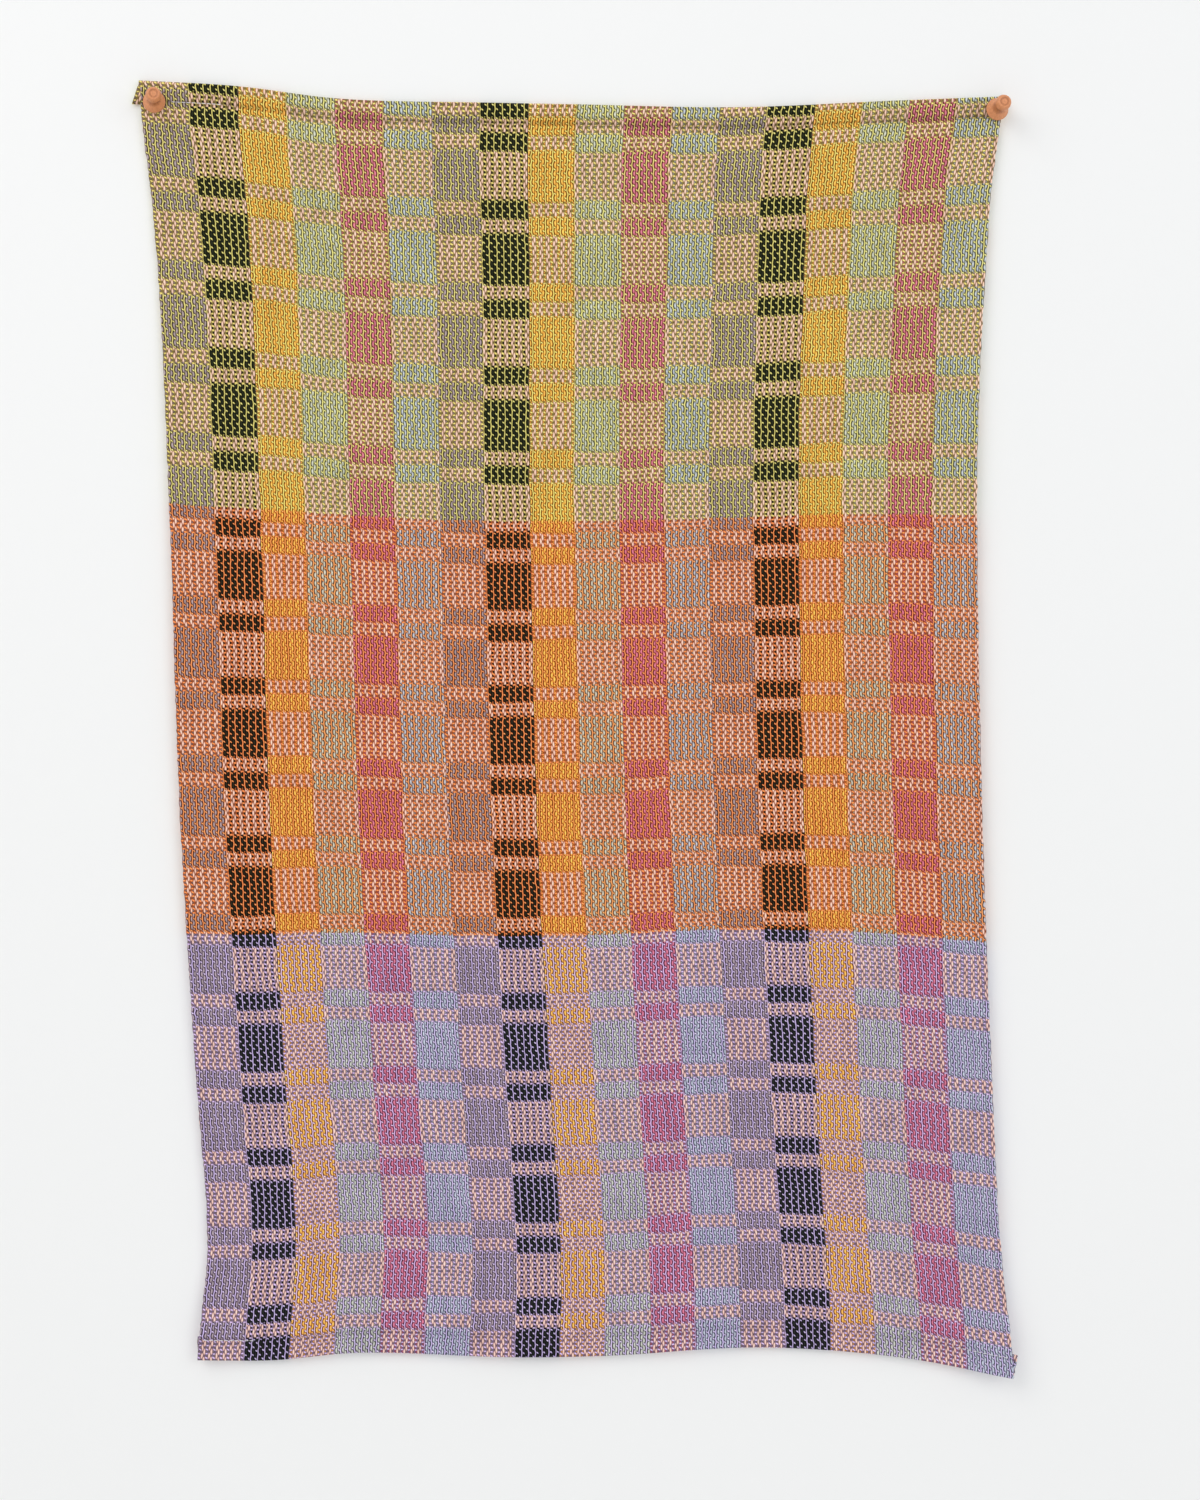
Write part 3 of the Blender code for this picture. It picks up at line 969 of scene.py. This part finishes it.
def strokes(across, pick, first):
    """Two rows of strokes. The right one is highest at the first pick, the left one two picks on."""
    right = mark(across - STROKE_APART, wrapped(pick - first, TIE_PICKS), STROKE_WIDTH, STROKE_LENGTH)
    left = mark(across + STROKE_APART, wrapped(pick - first - 2, TIE_PICKS), STROKE_WIDTH, STROKE_LENGTH)
    return higher(right, left)


print("strokes are", 2 * STROKE_LENGTH, "picks long")

# %% Draw the marks of a stripe's own block
SWAY = 0.14
LINE_WIDTH, LINE_HEIGHT = 0.42, 0.80
DOT_WIDTH, DOT_LENGTH, DOT_SLANT = 0.72, 0.46, 0.45


def own_block(end, pick):
    """The strokes and the weft's marks where a stripe shows its own yarn, and which lane it is."""
    sway = ((pick - 0.5) * (math.tau / TIE_PICKS)).math("COSINE") * SWAY
    across = wrapped(end - sway, PAIR_ENDS)
    right_lane = across.math("GREATER_THAN", 0)
    float_field = strokes(across, pick, 0.5)
    line = 1 - squared((across.math("ABSOLUTE") - 2) / LINE_WIDTH)
    in_lane = across + 1 - right_lane * 2
    from_tie = wrapped(pick + right_lane * 2 - 0.5, TIE_PICKS) - in_lane * DOT_SLANT
    dot = mark(in_lane, from_tie, DOT_WIDTH, DOT_LENGTH)
    return float_field, higher(line * LINE_HEIGHT, dot), right_lane


print("own blocks have strokes, lines and dots")

# %% Draw the marks of a peach block
BEAD_SHIFT = 0.3
BEAD_WIDTH, BEAD_LENGTH = 0.55, 0.68
DASH_WIDTH, DASH_LENGTH, DASH_SLANT = 1.3, 0.75, 0.3


def peach_block(end, pick):
    """The peach strokes, the beads of the stripe's yarn and the dashes of weft."""
    peach = strokes(wrapped(end - 3, PAIR_ENDS), pick, 2.5)
    across = wrapped(end - 1, PAIR_ENDS)
    bead_left = mark(across + BEAD_SHIFT, wrapped(pick - 2.5, TIE_PICKS), BEAD_WIDTH, BEAD_LENGTH)
    bead_right = mark(across - BEAD_SHIFT, wrapped(pick - 0.5, TIE_PICKS), BEAD_WIDTH, BEAD_LENGTH)
    dash = mark(across, wrapped(pick - 1.5 - across * DASH_SLANT, 2), DASH_WIDTH, DASH_LENGTH)
    return peach, higher(bead_left, bead_right), dash


print("peach blocks have strokes, beads and dashes")

# %% [markdown]
# The pattern of blocks comes from the plan. A ramp holds the tall and short bands, softened over
# a few picks, so that a threshold on it can be moved. The left lane of each pair gets a slightly
# lower threshold, and reaches one pick further. That gives the blocks their toothed edges.

# %% Say which block a thread is in
BAND_BLUR = 2
TOOTH = 0.22


def band_stops():
    """Ramp stops over one repeat: 1 where the dark stripes show their own yarn."""
    ends = np.concatenate([[0], np.cumsum(BAND_PICKS)])
    edge = BAND_BLUR / REPEAT_PICKS
    places = [(0.0, 0.5)]
    for i, (start, end) in enumerate(zip(ends[:-1], ends[1:])):
        level = float(i % 2)
        places += [(start / REPEAT_PICKS + edge, level), (end / REPEAT_PICKS - edge, level)]
    places.append((1.0, 0.5))
    return [(place, (level,) * 3) for place, level in places]


def own_share(end, pick, right_lane, reverse):
    """1 where the stripe's own yarn is on top, 0 where peach is."""
    band = stops(fract(pick / REPEAT_PICKS), band_stops(), "LINEAR")
    odd = floor_of(end / ENDS_IN_STRIPE).math("FLOORED_MODULO", 2)
    own = (odd - (1 - band)).math("ABSOLUTE")
    if reverse:
        own = 1 - own
    return step_up(own + (1 - right_lane) * TOOTH, 0.45, 0.55)


def yarn_colours(end, pick):
    """The stripe's yarn and the weft yarn at this place."""
    stripe_stops = [(i / len(STRIPE_YARNS), c) for i, c in enumerate(STRIPE_YARNS.values())]
    stripe = stops(fract(end / (ENDS_IN_STRIPE * len(STRIPE_YARNS))), stripe_stops)
    starts = [FIRST_PICK, ORANGE_FROM, LAVENDER_FROM]
    weft_stops = [((s - FIRST_PICK) / PICKS, c) for s, c in zip(starts, WEFT_YARNS.values())]
    weft = stops((floor_of(pick) - FIRST_PICK + 0.5) / PICKS, weft_stops)
    return stripe, weft


print("a repeat has", len(band_stops()), "ramp stops")

# %% [markdown]
# Light that enters a block is coloured by every yarn in it before it comes out. So each yarn looks
# a little like its neighbours: peach is yellower among olive weft and pinker among lavender. Each
# yarn colour is therefore multiplied partly by the mean colour of its block, most of all down in
# the gaps. A little weft colour is also added to every end: painted light bounced from the weft,
# and a few stray fibres of weft. It tints the darkest yarn most.

# %% Colour the yarns
SHARED_IN_GAPS, SHARED_ON_TOPS = 0.92, 0.06
SHARED_LEVEL = 0.40
# Weft colour added to every end: painted light bounced from the weft, and stray weft fibres.
WEFT_BOUNCE_AND_FIBRES = 0.006
OWN_BLOCK_MIX = (0.63, 0.37)
PEACH_BLOCK_MIX = (0.49, 0.40, 0.11)
SOFT_RIM = (-0.1, 0.2)


def lit_by_block(colour, mean, height):
    """A yarn's colour as its neighbours tint it, most of all down in the gaps."""
    share = mix(height, SHARED_IN_GAPS, SHARED_ON_TOPS)
    kept = 1 - share
    tint = add_colours(scaled(mean, share / SHARED_LEVEL), place_of(colour.tree, kept, kept, kept))
    return times(colour, tint)


def mix_colours(share, first, second):
    """Goes from the first colour to the second as the share goes from 0 to 1."""
    return add_colours(scaled(first, 1 - share), scaled(second, share))


def inside(field):
    """1 inside a mark and 0 outside it, with a soft rim."""
    return step_up(field, *SOFT_RIM)


def block_colours(stripe, weft, own_marks, peach_marks, height):
    """Colours of an own block and of a peach block."""
    peach = place_of(stripe.tree, *PEACH_YARN)
    # Painted light bounced from the weft, and stray weft fibres, tint the stripe's yarn.
    stripe = add_colours(stripe, scaled(weft, WEFT_BOUNCE_AND_FIBRES))
    own_mean = add_colours(*map(scaled, (stripe, weft), OWN_BLOCK_MIX))
    peach_mean = add_colours(*map(scaled, (peach, weft, stripe), PEACH_BLOCK_MIX))
    own = mix_colours(inside(own_marks[1]), stripe, weft)
    under = mix_colours(inside(peach_marks[1]), weft, stripe)
    over = mix_colours(inside(peach_marks[0]), under, peach)
    return lit_by_block(own, own_mean, height), lit_by_block(over, peach_mean, height)


print("in the gaps each yarn takes", SHARED_IN_GAPS, "of its light from its block")

# %% [markdown]
# The gaps of a weave are darker than its tops, because less light gets in and out. At this size
# they are far too small to model, so the height of the marks shades the colour directly. No two
# threads of real cotton are quite alike either, so each end, each pick and each float gets a chance
# of its own, and slow noise stands for uneven dyeing.

# %% Shade the relief and vary the yarns
GAP_SHADE, TOP_SHADE = 0.24, 2.62
LOWEST = 0.072
OWN_WEFT_HEIGHT, BEAD_HEIGHT, DASH_HEIGHT = 0.62, 0.57, 0.46
END_VARIES, PICK_VARIES, FLOAT_VARIES = 0.05, 0.04, 0.11
END_SEED, PICK_SEED = 7, 11
FLOAT_ENDS, FLOAT_PICKS = 2, 4
MOTTLE_SIZE, MOTTLE_VARIES = 24, 0.05
FIBRES_PER_END, FIBRES_PER_PICK, FIBRE_VARIES = 6, 1.5, 0.08
# How much shade is painted into the seam grooves.
SEAM_PAINTED_SHADE = 0.40


def relief(own_marks, peach_marks, own):
    """Height of the weave, from 0 in the gaps to 1 on the tops."""
    own_height = higher(own_marks[0], own_marks[1] * OWN_WEFT_HEIGHT)
    under = mix(inside(peach_marks[1]), peach_marks[2] * DASH_HEIGHT, peach_marks[1] * BEAD_HEIGHT)
    peach_height = higher(peach_marks[0], under)
    return step_up(mix(own, peach_height, own_height), LOWEST, 1.0)


def variation(tree, end, pick):
    """Uneven dyeing, single threads, single floats and fibres, as a factor near 1."""
    one_end = chance_of(tree, floor_of(end), END_SEED)
    one_pick = chance_of(tree, PICK_SEED, floor_of(pick))
    one_float = chance_of(tree, floor_of(end / FLOAT_ENDS), floor_of(pick / FLOAT_PICKS))
    mottle = noise(place_of(tree, end, pick), 1 / MOTTLE_SIZE, 3)
    fibres = noise(place_of(tree, end * FIBRES_PER_END, pick * FIBRES_PER_PICK), 1, 3)
    return (
        one_end * END_VARIES
        + one_pick * PICK_VARIES
        + one_float * FLOAT_VARIES
        + mottle * MOTTLE_VARIES
        + fibres * FIBRE_VARIES
        + 1
    )


print("tops are", round(TOP_SHADE / GAP_SHADE, 1), "times as light as gaps")

# %% [markdown]
# Both faces use the same sums. On the reverse only the blocks are swapped, which is what the loom
# does too: where a yarn is not on the front, it is on the back. Cotton is matt, with hardly any
# shine and a trace of sheen from its fibres.

# %% Weave both faces
BUMP_HEIGHT, BUMP_STRENGTH = 0.35 * MM, 0.6
FIBRE_BUMP, FIBRE_ROUGHENS = 0.12, 0.05
FUZZ_PER_THREAD = 9
CLOTH_ROUGHNESS, CLOTH_SHINE = 0.88, 0.10
CLOTH_SHEEN, SHEEN_ROUGHNESS = 0.04, 0.5
LIGHTEST = 1.0


def finish_cloth(material, colour, height, fuzz):
    """Puts the colour, the relief and cotton's soft sheen on a shader."""
    tree = material.node_tree
    lightest = place_of(tree, *(LIGHTEST,) * 3)
    colour = colour_node(tree, "ShaderNodeVectorMath", "MINIMUM", colour, lightest)
    shader = surface(material, colour, fuzz * FIBRE_ROUGHENS + CLOTH_ROUGHNESS)
    shader.inputs["Specular IOR Level"].default_value = CLOTH_SHINE
    shader.inputs["Sheen Weight"].default_value = CLOTH_SHEEN
    shader.inputs["Sheen Roughness"].default_value = SHEEN_ROUGHNESS
    raise_relief(shader, height + fuzz * FIBRE_BUMP, BUMP_HEIGHT, BUMP_STRENGTH)


def fuzz_of(tree, end, pick):
    """The finest fibres, much smaller than a thread."""
    return noise(place_of(tree, end * FUZZ_PER_THREAD, pick * FUZZ_PER_THREAD), 1, 2)


def weave(material, reverse):
    """Wires one face of the cloth."""
    tree = material.node_tree
    end, pick = threads(tree)
    *own_marks, right_lane = own_block(end, pick)
    peach_marks = peach_block(end, pick)
    own = own_share(end, pick, right_lane, reverse)
    stripe, weft = yarn_colours(end, pick)
    height = relief(own_marks, peach_marks, own)
    own_colour, peach_colour = block_colours(stripe, weft, own_marks, peach_marks, height)
    seam_shade = Wire(attribute_of(tree, "seam_shade").outputs["Fac"])
    shade = mix(height, GAP_SHADE, TOP_SHADE) * variation(tree, end, pick)
    # Paint shade into the seam grooves.
    shade = shade * (1 - seam_shade * SEAM_PAINTED_SHADE)
    colour = scaled(mix_colours(own, peach_colour, own_colour), shade)
    finish_cloth(material, colour, height, fuzz_of(tree, end, pick))
    return len(tree.nodes)


front, reverse, selvedge = cloth.data.materials
print("front:", weave(front, False), "nodes; reverse:", weave(reverse, True), "nodes")

# %% [markdown]
# Along a selvedge the weft turns round the outermost end, so its edge is a row of small loops in
# the weft's colour, one every second pick.

# %% Weave the selvedge
LOOP_PICKS = 2
LOOP_GAP_SHADE, LOOP_TOP_SHADE = 0.8, 1.5


def weave_selvedge(material):
    """Wires the cloth's narrow edge."""
    tree = material.node_tree
    end, pick = threads(tree)
    weft = yarn_colours(end, pick)[1]
    loops = 1 - squared(wrapped(pick, LOOP_PICKS))
    shade = mix(loops, LOOP_GAP_SHADE, LOOP_TOP_SHADE) * variation(tree, end, pick)
    finish_cloth(material, scaled(weft, shade), loops, fuzz_of(tree, end, pick))
    return len(tree.nodes)


print("selvedge:", weave_selvedge(selvedge), "nodes")

# %% [markdown]
# ## The hem stitches
#
# The hems are sewn with a lockstitch: one thread on the front, one on the back. Each stitch is a
# short plump bar of spun thread, pulled so far into the soft cloth that only specks of it show.
# At the seams' ends the stitches lie looser and can be seen. One stitch is modelled, from a sphere
# of 48 faces, and copied along the seam.

# %% Model one stitch
STITCH_LENGTH = 2.7 * MM
STITCH_STEP = 3.0 * MM
THREAD_THICKNESS = 0.50 * MM

bpy.ops.mesh.primitive_uv_sphere_add(segments=8, ring_count=6, radius=0.5, rotation=(0, math.pi / 2, 0))
stitch = bpy.context.object
bpy.ops.object.transform_apply()
bpy.ops.transform.resize(value=(STITCH_LENGTH, THREAD_THICKNESS, THREAD_THICKNESS))
bpy.ops.object.transform_apply()
bpy.ops.object.shade_smooth()
print("one stitch has", len(stitch.data.polygons), "faces")

# %% [markdown]
# The needle threads lie on the front and the bobbin threads on the back, each at the seam's depth
# below its fold. The seam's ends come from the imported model's thread solids, and its height and its
# distance from the wall come from the same sums that placed the cloth, so no stitch floats.

# %% Find the seams on the cloth
def seam_line(bottom, back):
    """Places every stitch step along a seam, on the surface of the cloth."""
    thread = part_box(f"{'bottom' if bottom else 'top'}_hem_{'bobbin' if back else 'needle'}_thread")
    shares = np.linspace(0, 1, 600)
    down = SEAM_DEPTH / drop_at(shares)
    down = 1 - down if bottom else down
    x, z = front_place(shares, down)
    if back:
        sunk = float(seam_sink(np.array(SEAM_DEPTH))) * BACK_SINK_SHARE
        y = BACK_LAYER_Y + CLOTH_THICKNESS / 2 - sunk - lift(shares, down)
    else:
        y = front_y(shares, down) - CLOTH_THICKNESS / 2
    steps = np.arange(thread[0].x + STITCH_STEP / 2, thread[1].x - STITCH_STEP / 2, STITCH_STEP)
    return np.stack([steps, np.interp(steps, x, y), np.interp(steps, x, z)], 1)


# Shares of each seam, at its left and right ends, where the stitches lie loose.
LOOSE_ENDS = {"top_front": (0.058, 0.0), "bottom_front": (0.058, 0.058), "back": (0.02, 0.02)}
print("the top seam has", len(seam_line(False, False)), "stitches")

# %% Sew the seams
SUNK_MIN, SUNK_MAX = 0.20 * MM, 0.28 * MM
LOOSE_SUNK = -0.14 * MM
STITCH_TILT = 0.06


def sew(name, bottom, back, loose):
    """Copies the stitch along a seam and joins the copies into one piece."""
    places = seam_line(bottom, back)
    bpy.ops.object.select_all(action="DESELECT")
    copies = []
    for i, place in enumerate(places):
        following = places[min(i + 1, len(places) - 1)]
        before = places[max(i - 1, 0)]
        share = i / (len(places) - 1)
        is_loose = share < loose[0] or share > 1 - loose[1]
        sunk = LOOSE_SUNK if is_loose else chance.uniform(SUNK_MIN, SUNK_MAX)
        copy = stitch.copy()
        copy.data = stitch.data.copy()
        copy.location = Vector(place) + Vector((0, -sunk if back else sunk, 0))
        slope = math.atan2(following[2] - before[2], following[0] - before[0])
        copy.rotation_euler = (0, -slope + chance.uniform(-1, 1) * STITCH_TILT, 0)
        bpy.context.collection.objects.link(copy)
        copy.select_set(True)
        copies.append(copy)
    bpy.context.view_layer.objects.active = copies[0]
    bpy.ops.object.join()
    bpy.ops.object.transform_apply()
    seam = bpy.context.object
    seam.name = seam.data.name = name
    return seam


seams = {
    "top_hem_needle_thread": sew("top_front_stitches", False, False, LOOSE_ENDS["top_front"]),
    "top_hem_bobbin_thread": sew("top_back_stitches", False, True, LOOSE_ENDS["back"]),
    "bottom_hem_needle_thread": sew("bottom_front_stitches", True, False, LOOSE_ENDS["bottom_front"]),
    "bottom_hem_bobbin_thread": sew("bottom_back_stitches", True, True, LOOSE_ENDS["back"]),
}
bpy.data.objects.remove(stitch)
print("sewed", len(seams), "rows of stitches")

# %% [markdown]
# Sewing thread is two plies twisted together. The sphere that each stitch came from has a UV map
# that runs round and along it, so a slanted pattern on that map winds round the stitch like a twist.

# %% Colour the thread
THREAD_COLOUR = (0.88, 0.84, 0.88)
TWIST_TURNS, PLIES = 5, 2
PLY_GAP_SHADE, PLY_TOP_SHADE = 0.72, 1.05
PLY_RELIEF = 0.3
FUZZ_ROUND, FUZZ_ALONG, THREAD_FUZZ_VARIES = 30, 60, 0.06


def thread_material():
    """Pale spun thread with its twist."""
    material = empty_material("sewing_thread")
    tree = material.node_tree
    round_it, along = uv_place(tree, "UVMap")
    ply = 1 - squared(fract(along * TWIST_TURNS + round_it * PLIES) * 2 - 1)
    fuzz = noise(place_of(tree, round_it * FUZZ_ROUND, along * FUZZ_ALONG), 1, 2)
    shade = mix(ply, PLY_GAP_SHADE, PLY_TOP_SHADE) + fuzz * THREAD_FUZZ_VARIES
    finish_cloth(material, scaled(place_of(tree, *THREAD_COLOUR), shade), ply * PLY_RELIEF, fuzz)
    return material


thread = thread_material()
for node, seam in seams.items():
    seam.data.materials.clear()
    seam.data.materials.append(thread)
    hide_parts(node)
    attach(seam, "hanging_cloth" if "bottom" in node else "pinned_band")
print("the thread is pale lilac")

# %% [markdown]
# ## The push pins
#
# The heads are turned from a wooden dowel: a round base with a thin edge, a slope that narrows to a
# waist, and a knob with a small dish in its end where the lathe's centre was. A turned piece is
# its profile, spun. Here a disc is extruded and resized ring by ring, as one would by hand. It starts
# at the bottom of the needle's socket and ends in the dish.

# %% Draw the head's profile
SOCKET_RADIUS, SOCKET_DEPTH = 0.85, 8.3
BASE_CORNER = ((6.35, 0.0), (6.55, 0.08), (6.6, 0.3), (6.6, 0.85), (6.5, 1.08))
SLOPE_HEIGHTS = (1.18, 2.2, 4.2, 6.4, 8.6, 10.6, 12.6, 14.2, 15.6, 16.8, 17.6)
SLOPE_RADII = (6.3, 5.75, 4.6, 3.5, 3.02, 3.35, 4.25, 4.6, 4.5, 4.15, 3.7)
KNOB_END = ((3.45, 17.85), (3.15, 17.98), (2.75, 18.0), (2.3, 17.93), (1.9, 17.72), (1.2, 17.62), (0.4, 17.6))
SLOPE_RINGS = 30


def head_profile():
    """(radius, height) in mm, from the socket over the base and the waist to the knob's end."""
    heights = np.linspace(SLOPE_HEIGHTS[0], SLOPE_HEIGHTS[-1], SLOPE_RINGS)
    radii = curve_through(np.array(SLOPE_HEIGHTS), np.array(SLOPE_RADII), heights)
    socket = [(SOCKET_RADIUS, SOCKET_DEPTH), (SOCKET_RADIUS, 0.25), (SOCKET_RADIUS + 0.2, 0.0)]
    return socket + list(BASE_CORNER) + list(zip(radii.tolist(), heights.tolist())) + list(KNOB_END)


profile = head_profile()
print(len(profile), "rings, widest", max(r for r, h in profile), "mm")

# %% Turn a head
HEAD_SIDES = 56


def turned_head(name):
    """A pin head standing on its base at the origin, extruded ring by ring."""
    radius, height = profile[0]
    bpy.ops.mesh.primitive_circle_add(
        vertices=HEAD_SIDES, radius=radius * MM, fill_type="NGON", location=(0, 0, height * MM))
    head = bpy.context.object
    head.name = head.data.name = name
    bpy.ops.object.transform_apply()
    bpy.ops.object.mode_set(mode="EDIT")
    bpy.ops.mesh.select_all(action="SELECT")
    for (r0, h0), (r1, h1) in zip(profile, profile[1:]):
        bpy.ops.mesh.extrude_region_move(TRANSFORM_OT_translate={"value": (0, 0, (h1 - h0) * MM)})
        bpy.ops.transform.resize(value=(r1 / r0, r1 / r0, 1), center_override=(0, 0, h1 * MM))
    bpy.ops.mesh.select_all(action="SELECT")
    bpy.ops.mesh.normals_make_consistent(inside=False)
    bpy.ops.object.mode_set(mode="OBJECT")
    bpy.ops.object.shade_smooth_by_angle(angle=math.radians(35))
    return head


def remember_the_lathe(head):
    """Keeps each point's place on the lathe, in mm, for the grain to follow."""
    places = np.empty(len(head.data.vertices) * 3, dtype=np.float32)
    head.data.vertices.foreach_get("co", places)
    lathe = head.data.attributes.new("lathe", "FLOAT_VECTOR", "POINT")
    lathe.data.foreach_set("vector", places / MM)


heads = {side: turned_head(f"{side}_pin_wood") for side in ("left", "right")}
for head in heads.values():
    remember_the_lathe(head)
print("a head has", len(heads["left"].data.polygons), "faces")

# %% [markdown]
# Each head is turned upright at the origin and then put on its needle. The direction comes from its
# joint, because a pin pulls out along its own axis, and the place comes from the flat underside of
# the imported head. Applying the transform leaves the object at the origin, with its place in its mesh.

# %% Put the heads on their needles
def base_centre(node, axis):
    """Middle of a head's flat underside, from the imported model."""
    places = [vertex.co for vertex in frame["nodes"][node].data.vertices]
    lowest = min(place.dot(axis) for place in places)
    base = [place for place in places if place.dot(axis) < lowest + 0.01 * MM]
    return sum(base, Vector()) / len(base)


joints = {joint["name"]: joint for joint in frame["record"]["behaviour"]["joints"]}
for side, head in heads.items():
    axis = Vector(joints[f"{side}_pin_pull"]["axis"]).normalized()
    place = base_centre(f"{side}_pin_head", axis)
    turn = axis.to_track_quat("Z", "Y").to_matrix().to_4x4()
    head.matrix_world = Matrix.Translation(place) @ turn
    bpy.ops.object.select_all(action="DESELECT")
    head.select_set(True)
    bpy.context.view_layer.objects.active = head
    bpy.ops.object.transform_apply()
    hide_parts(f"{side}_pin_head")
    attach(head, f"{side}_pin")
    print(side, "head stands at, mm:", [round(v / MM, 1) for v in place])

# %% [markdown]
# The wood is a fine-grained, orange-tan kind such as beech. Its grain runs along the dowel, so it
# shows as streaks on the sides and as specks on the end. The lathe left faint rings round it. Shade
# is painted into the waist under the knob and round the rim of the dish.

# %% Give the wood its grain
WOOD_LIGHT = (0.790, 0.325, 0.145)
WOOD_DARK = (0.330, 0.105, 0.034)
RING_STEP, RING_SLOPE = 0.55, 4
GRAIN_SCALE, GRAIN_STRETCH = 1.1, 9
PORES_PER_MM, PORE_STRETCH = 4, 2
WAIST_HEIGHT, WAIST_REACH = 8.6, 4.6
DISH_RIM_RADIUS, DISH_RIM_WIDTH, KNOB_END_FROM = 2.2, 0.8, 17.0
# How much each of these darkens the wood, and how dark it is without them.
# The darkening of the waist and of the dish's rim is painted shade.
GRAIN, PORES, RINGS, WAIST_PAINTED_SHADE, DISH_PAINTED_SHADE, PLAIN = 0.22, 0.14, 0.04, 0.55, 0.45, 0.20
WOOD_ROUGHNESS, PORE_ROUGHENS, WOOD_SHINE = 0.47, 0.05, 0.45
RING_RELIEF, PORE_RELIEF = 0.4, 0.6
WOOD_RELIEF, WOOD_RELIEF_STRENGTH = 0.06 * MM, 0.5


def wood_material(name, seed):
    """Turned, oiled wood with painted shade in waist and dish. The seed gives each head its own grain."""
    material = empty_material(name)
    tree = material.node_tree
    x, y, z = numbers_of(tree, attribute_of(tree, "lathe").outputs["Vector"])
    grain = noise(place_of(tree, x + seed, y, z / GRAIN_STRETCH), GRAIN_SCALE, 4)
    pore_place = place_of(tree, x * PORES_PER_MM + seed, y * PORES_PER_MM, z / PORE_STRETCH)
    pores = noise(pore_place, 1.0, 3)
    radius = (squared(x) + squared(y)).math("SQRT")
    rings = (z * (math.tau / RING_STEP) + radius * RING_SLOPE).math("SINE")
    # Painted shade in the waist under the knob.
    waist = 1 - step_up(squared((z - WAIST_HEIGHT) / WAIST_REACH), 0.0, 1.0)
    # Painted shade round the rim of the dish in the knob's end.
    dish = (1 - squared((radius - DISH_RIM_RADIUS) / DISH_RIM_WIDTH)).math("MAXIMUM", 0.0)
    dish = dish * z.math("GREATER_THAN", KNOB_END_FROM)
    dark = grain * GRAIN + pores * PORES + rings * RINGS + waist * WAIST_PAINTED_SHADE + dish * DISH_PAINTED_SHADE + PLAIN
    dark = dark.math("MINIMUM", 1.0).math("MAXIMUM", 0.0)
    colour = mix_colours(dark, place_of(tree, *WOOD_LIGHT), place_of(tree, *WOOD_DARK))
    shader = surface(material, colour, pores * PORE_ROUGHENS + WOOD_ROUGHNESS)
    shader.inputs["Specular IOR Level"].default_value = WOOD_SHINE
    raise_relief(shader, rings * RING_RELIEF + pores * PORE_RELIEF, WOOD_RELIEF, WOOD_RELIEF_STRENGTH)
    return material


for side, seed in (("left", 0.0), ("right", 37.0)):
    heads[side].data.materials.clear()
    heads[side].data.materials.append(wood_material(f"{side}_pin_wood", seed))
print("the heads are wood")

# %% [markdown]
# The needles are bright drawn wire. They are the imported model's own solids, and only get a better
# finish: fine scratches along the wire, which show when a pin is pulled out.

# %% Polish the needles
STEEL = (0.60, 0.60, 0.61)
SCRATCHES_PER_MM, SCRATCH_LENGTH = 12, 2
SCRATCH_VARIES, SCRATCH_ROUGHENS, WIRE_ROUGHNESS = 0.06, 0.08, 0.26


def wire_material():
    """Drawn steel wire with fine scratches along it."""
    material = empty_material("needle_wire")
    tree = material.node_tree
    place = tree.nodes.new("ShaderNodeTexCoord")
    x, y, z = (wire / MM for wire in numbers_of(tree, place.outputs["Object"]))
    wire_place = place_of(tree, x * SCRATCHES_PER_MM, y / SCRATCH_LENGTH, z * SCRATCHES_PER_MM)
    scratches = noise(wire_place, 1, 3)
    colour = scaled(place_of(tree, *STEEL), scratches * SCRATCH_VARIES + 1)
    shader = surface(material, colour, scratches * SCRATCH_ROUGHENS + WIRE_ROUGHNESS)
    shader.inputs["Metallic"].default_value = 1.0
    return material


steel = wire_material()
for side in heads:
    needle = frame["nodes"][f"{side}_pin_needle"]
    needle.data.materials.clear()
    needle.data.materials.append(steel)
print("the needles are steel")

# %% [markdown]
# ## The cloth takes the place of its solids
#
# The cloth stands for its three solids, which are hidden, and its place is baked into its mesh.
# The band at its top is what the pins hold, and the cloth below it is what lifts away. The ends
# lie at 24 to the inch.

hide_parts("top_hem", "woven_panel", "bottom_hem")
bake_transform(cloth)
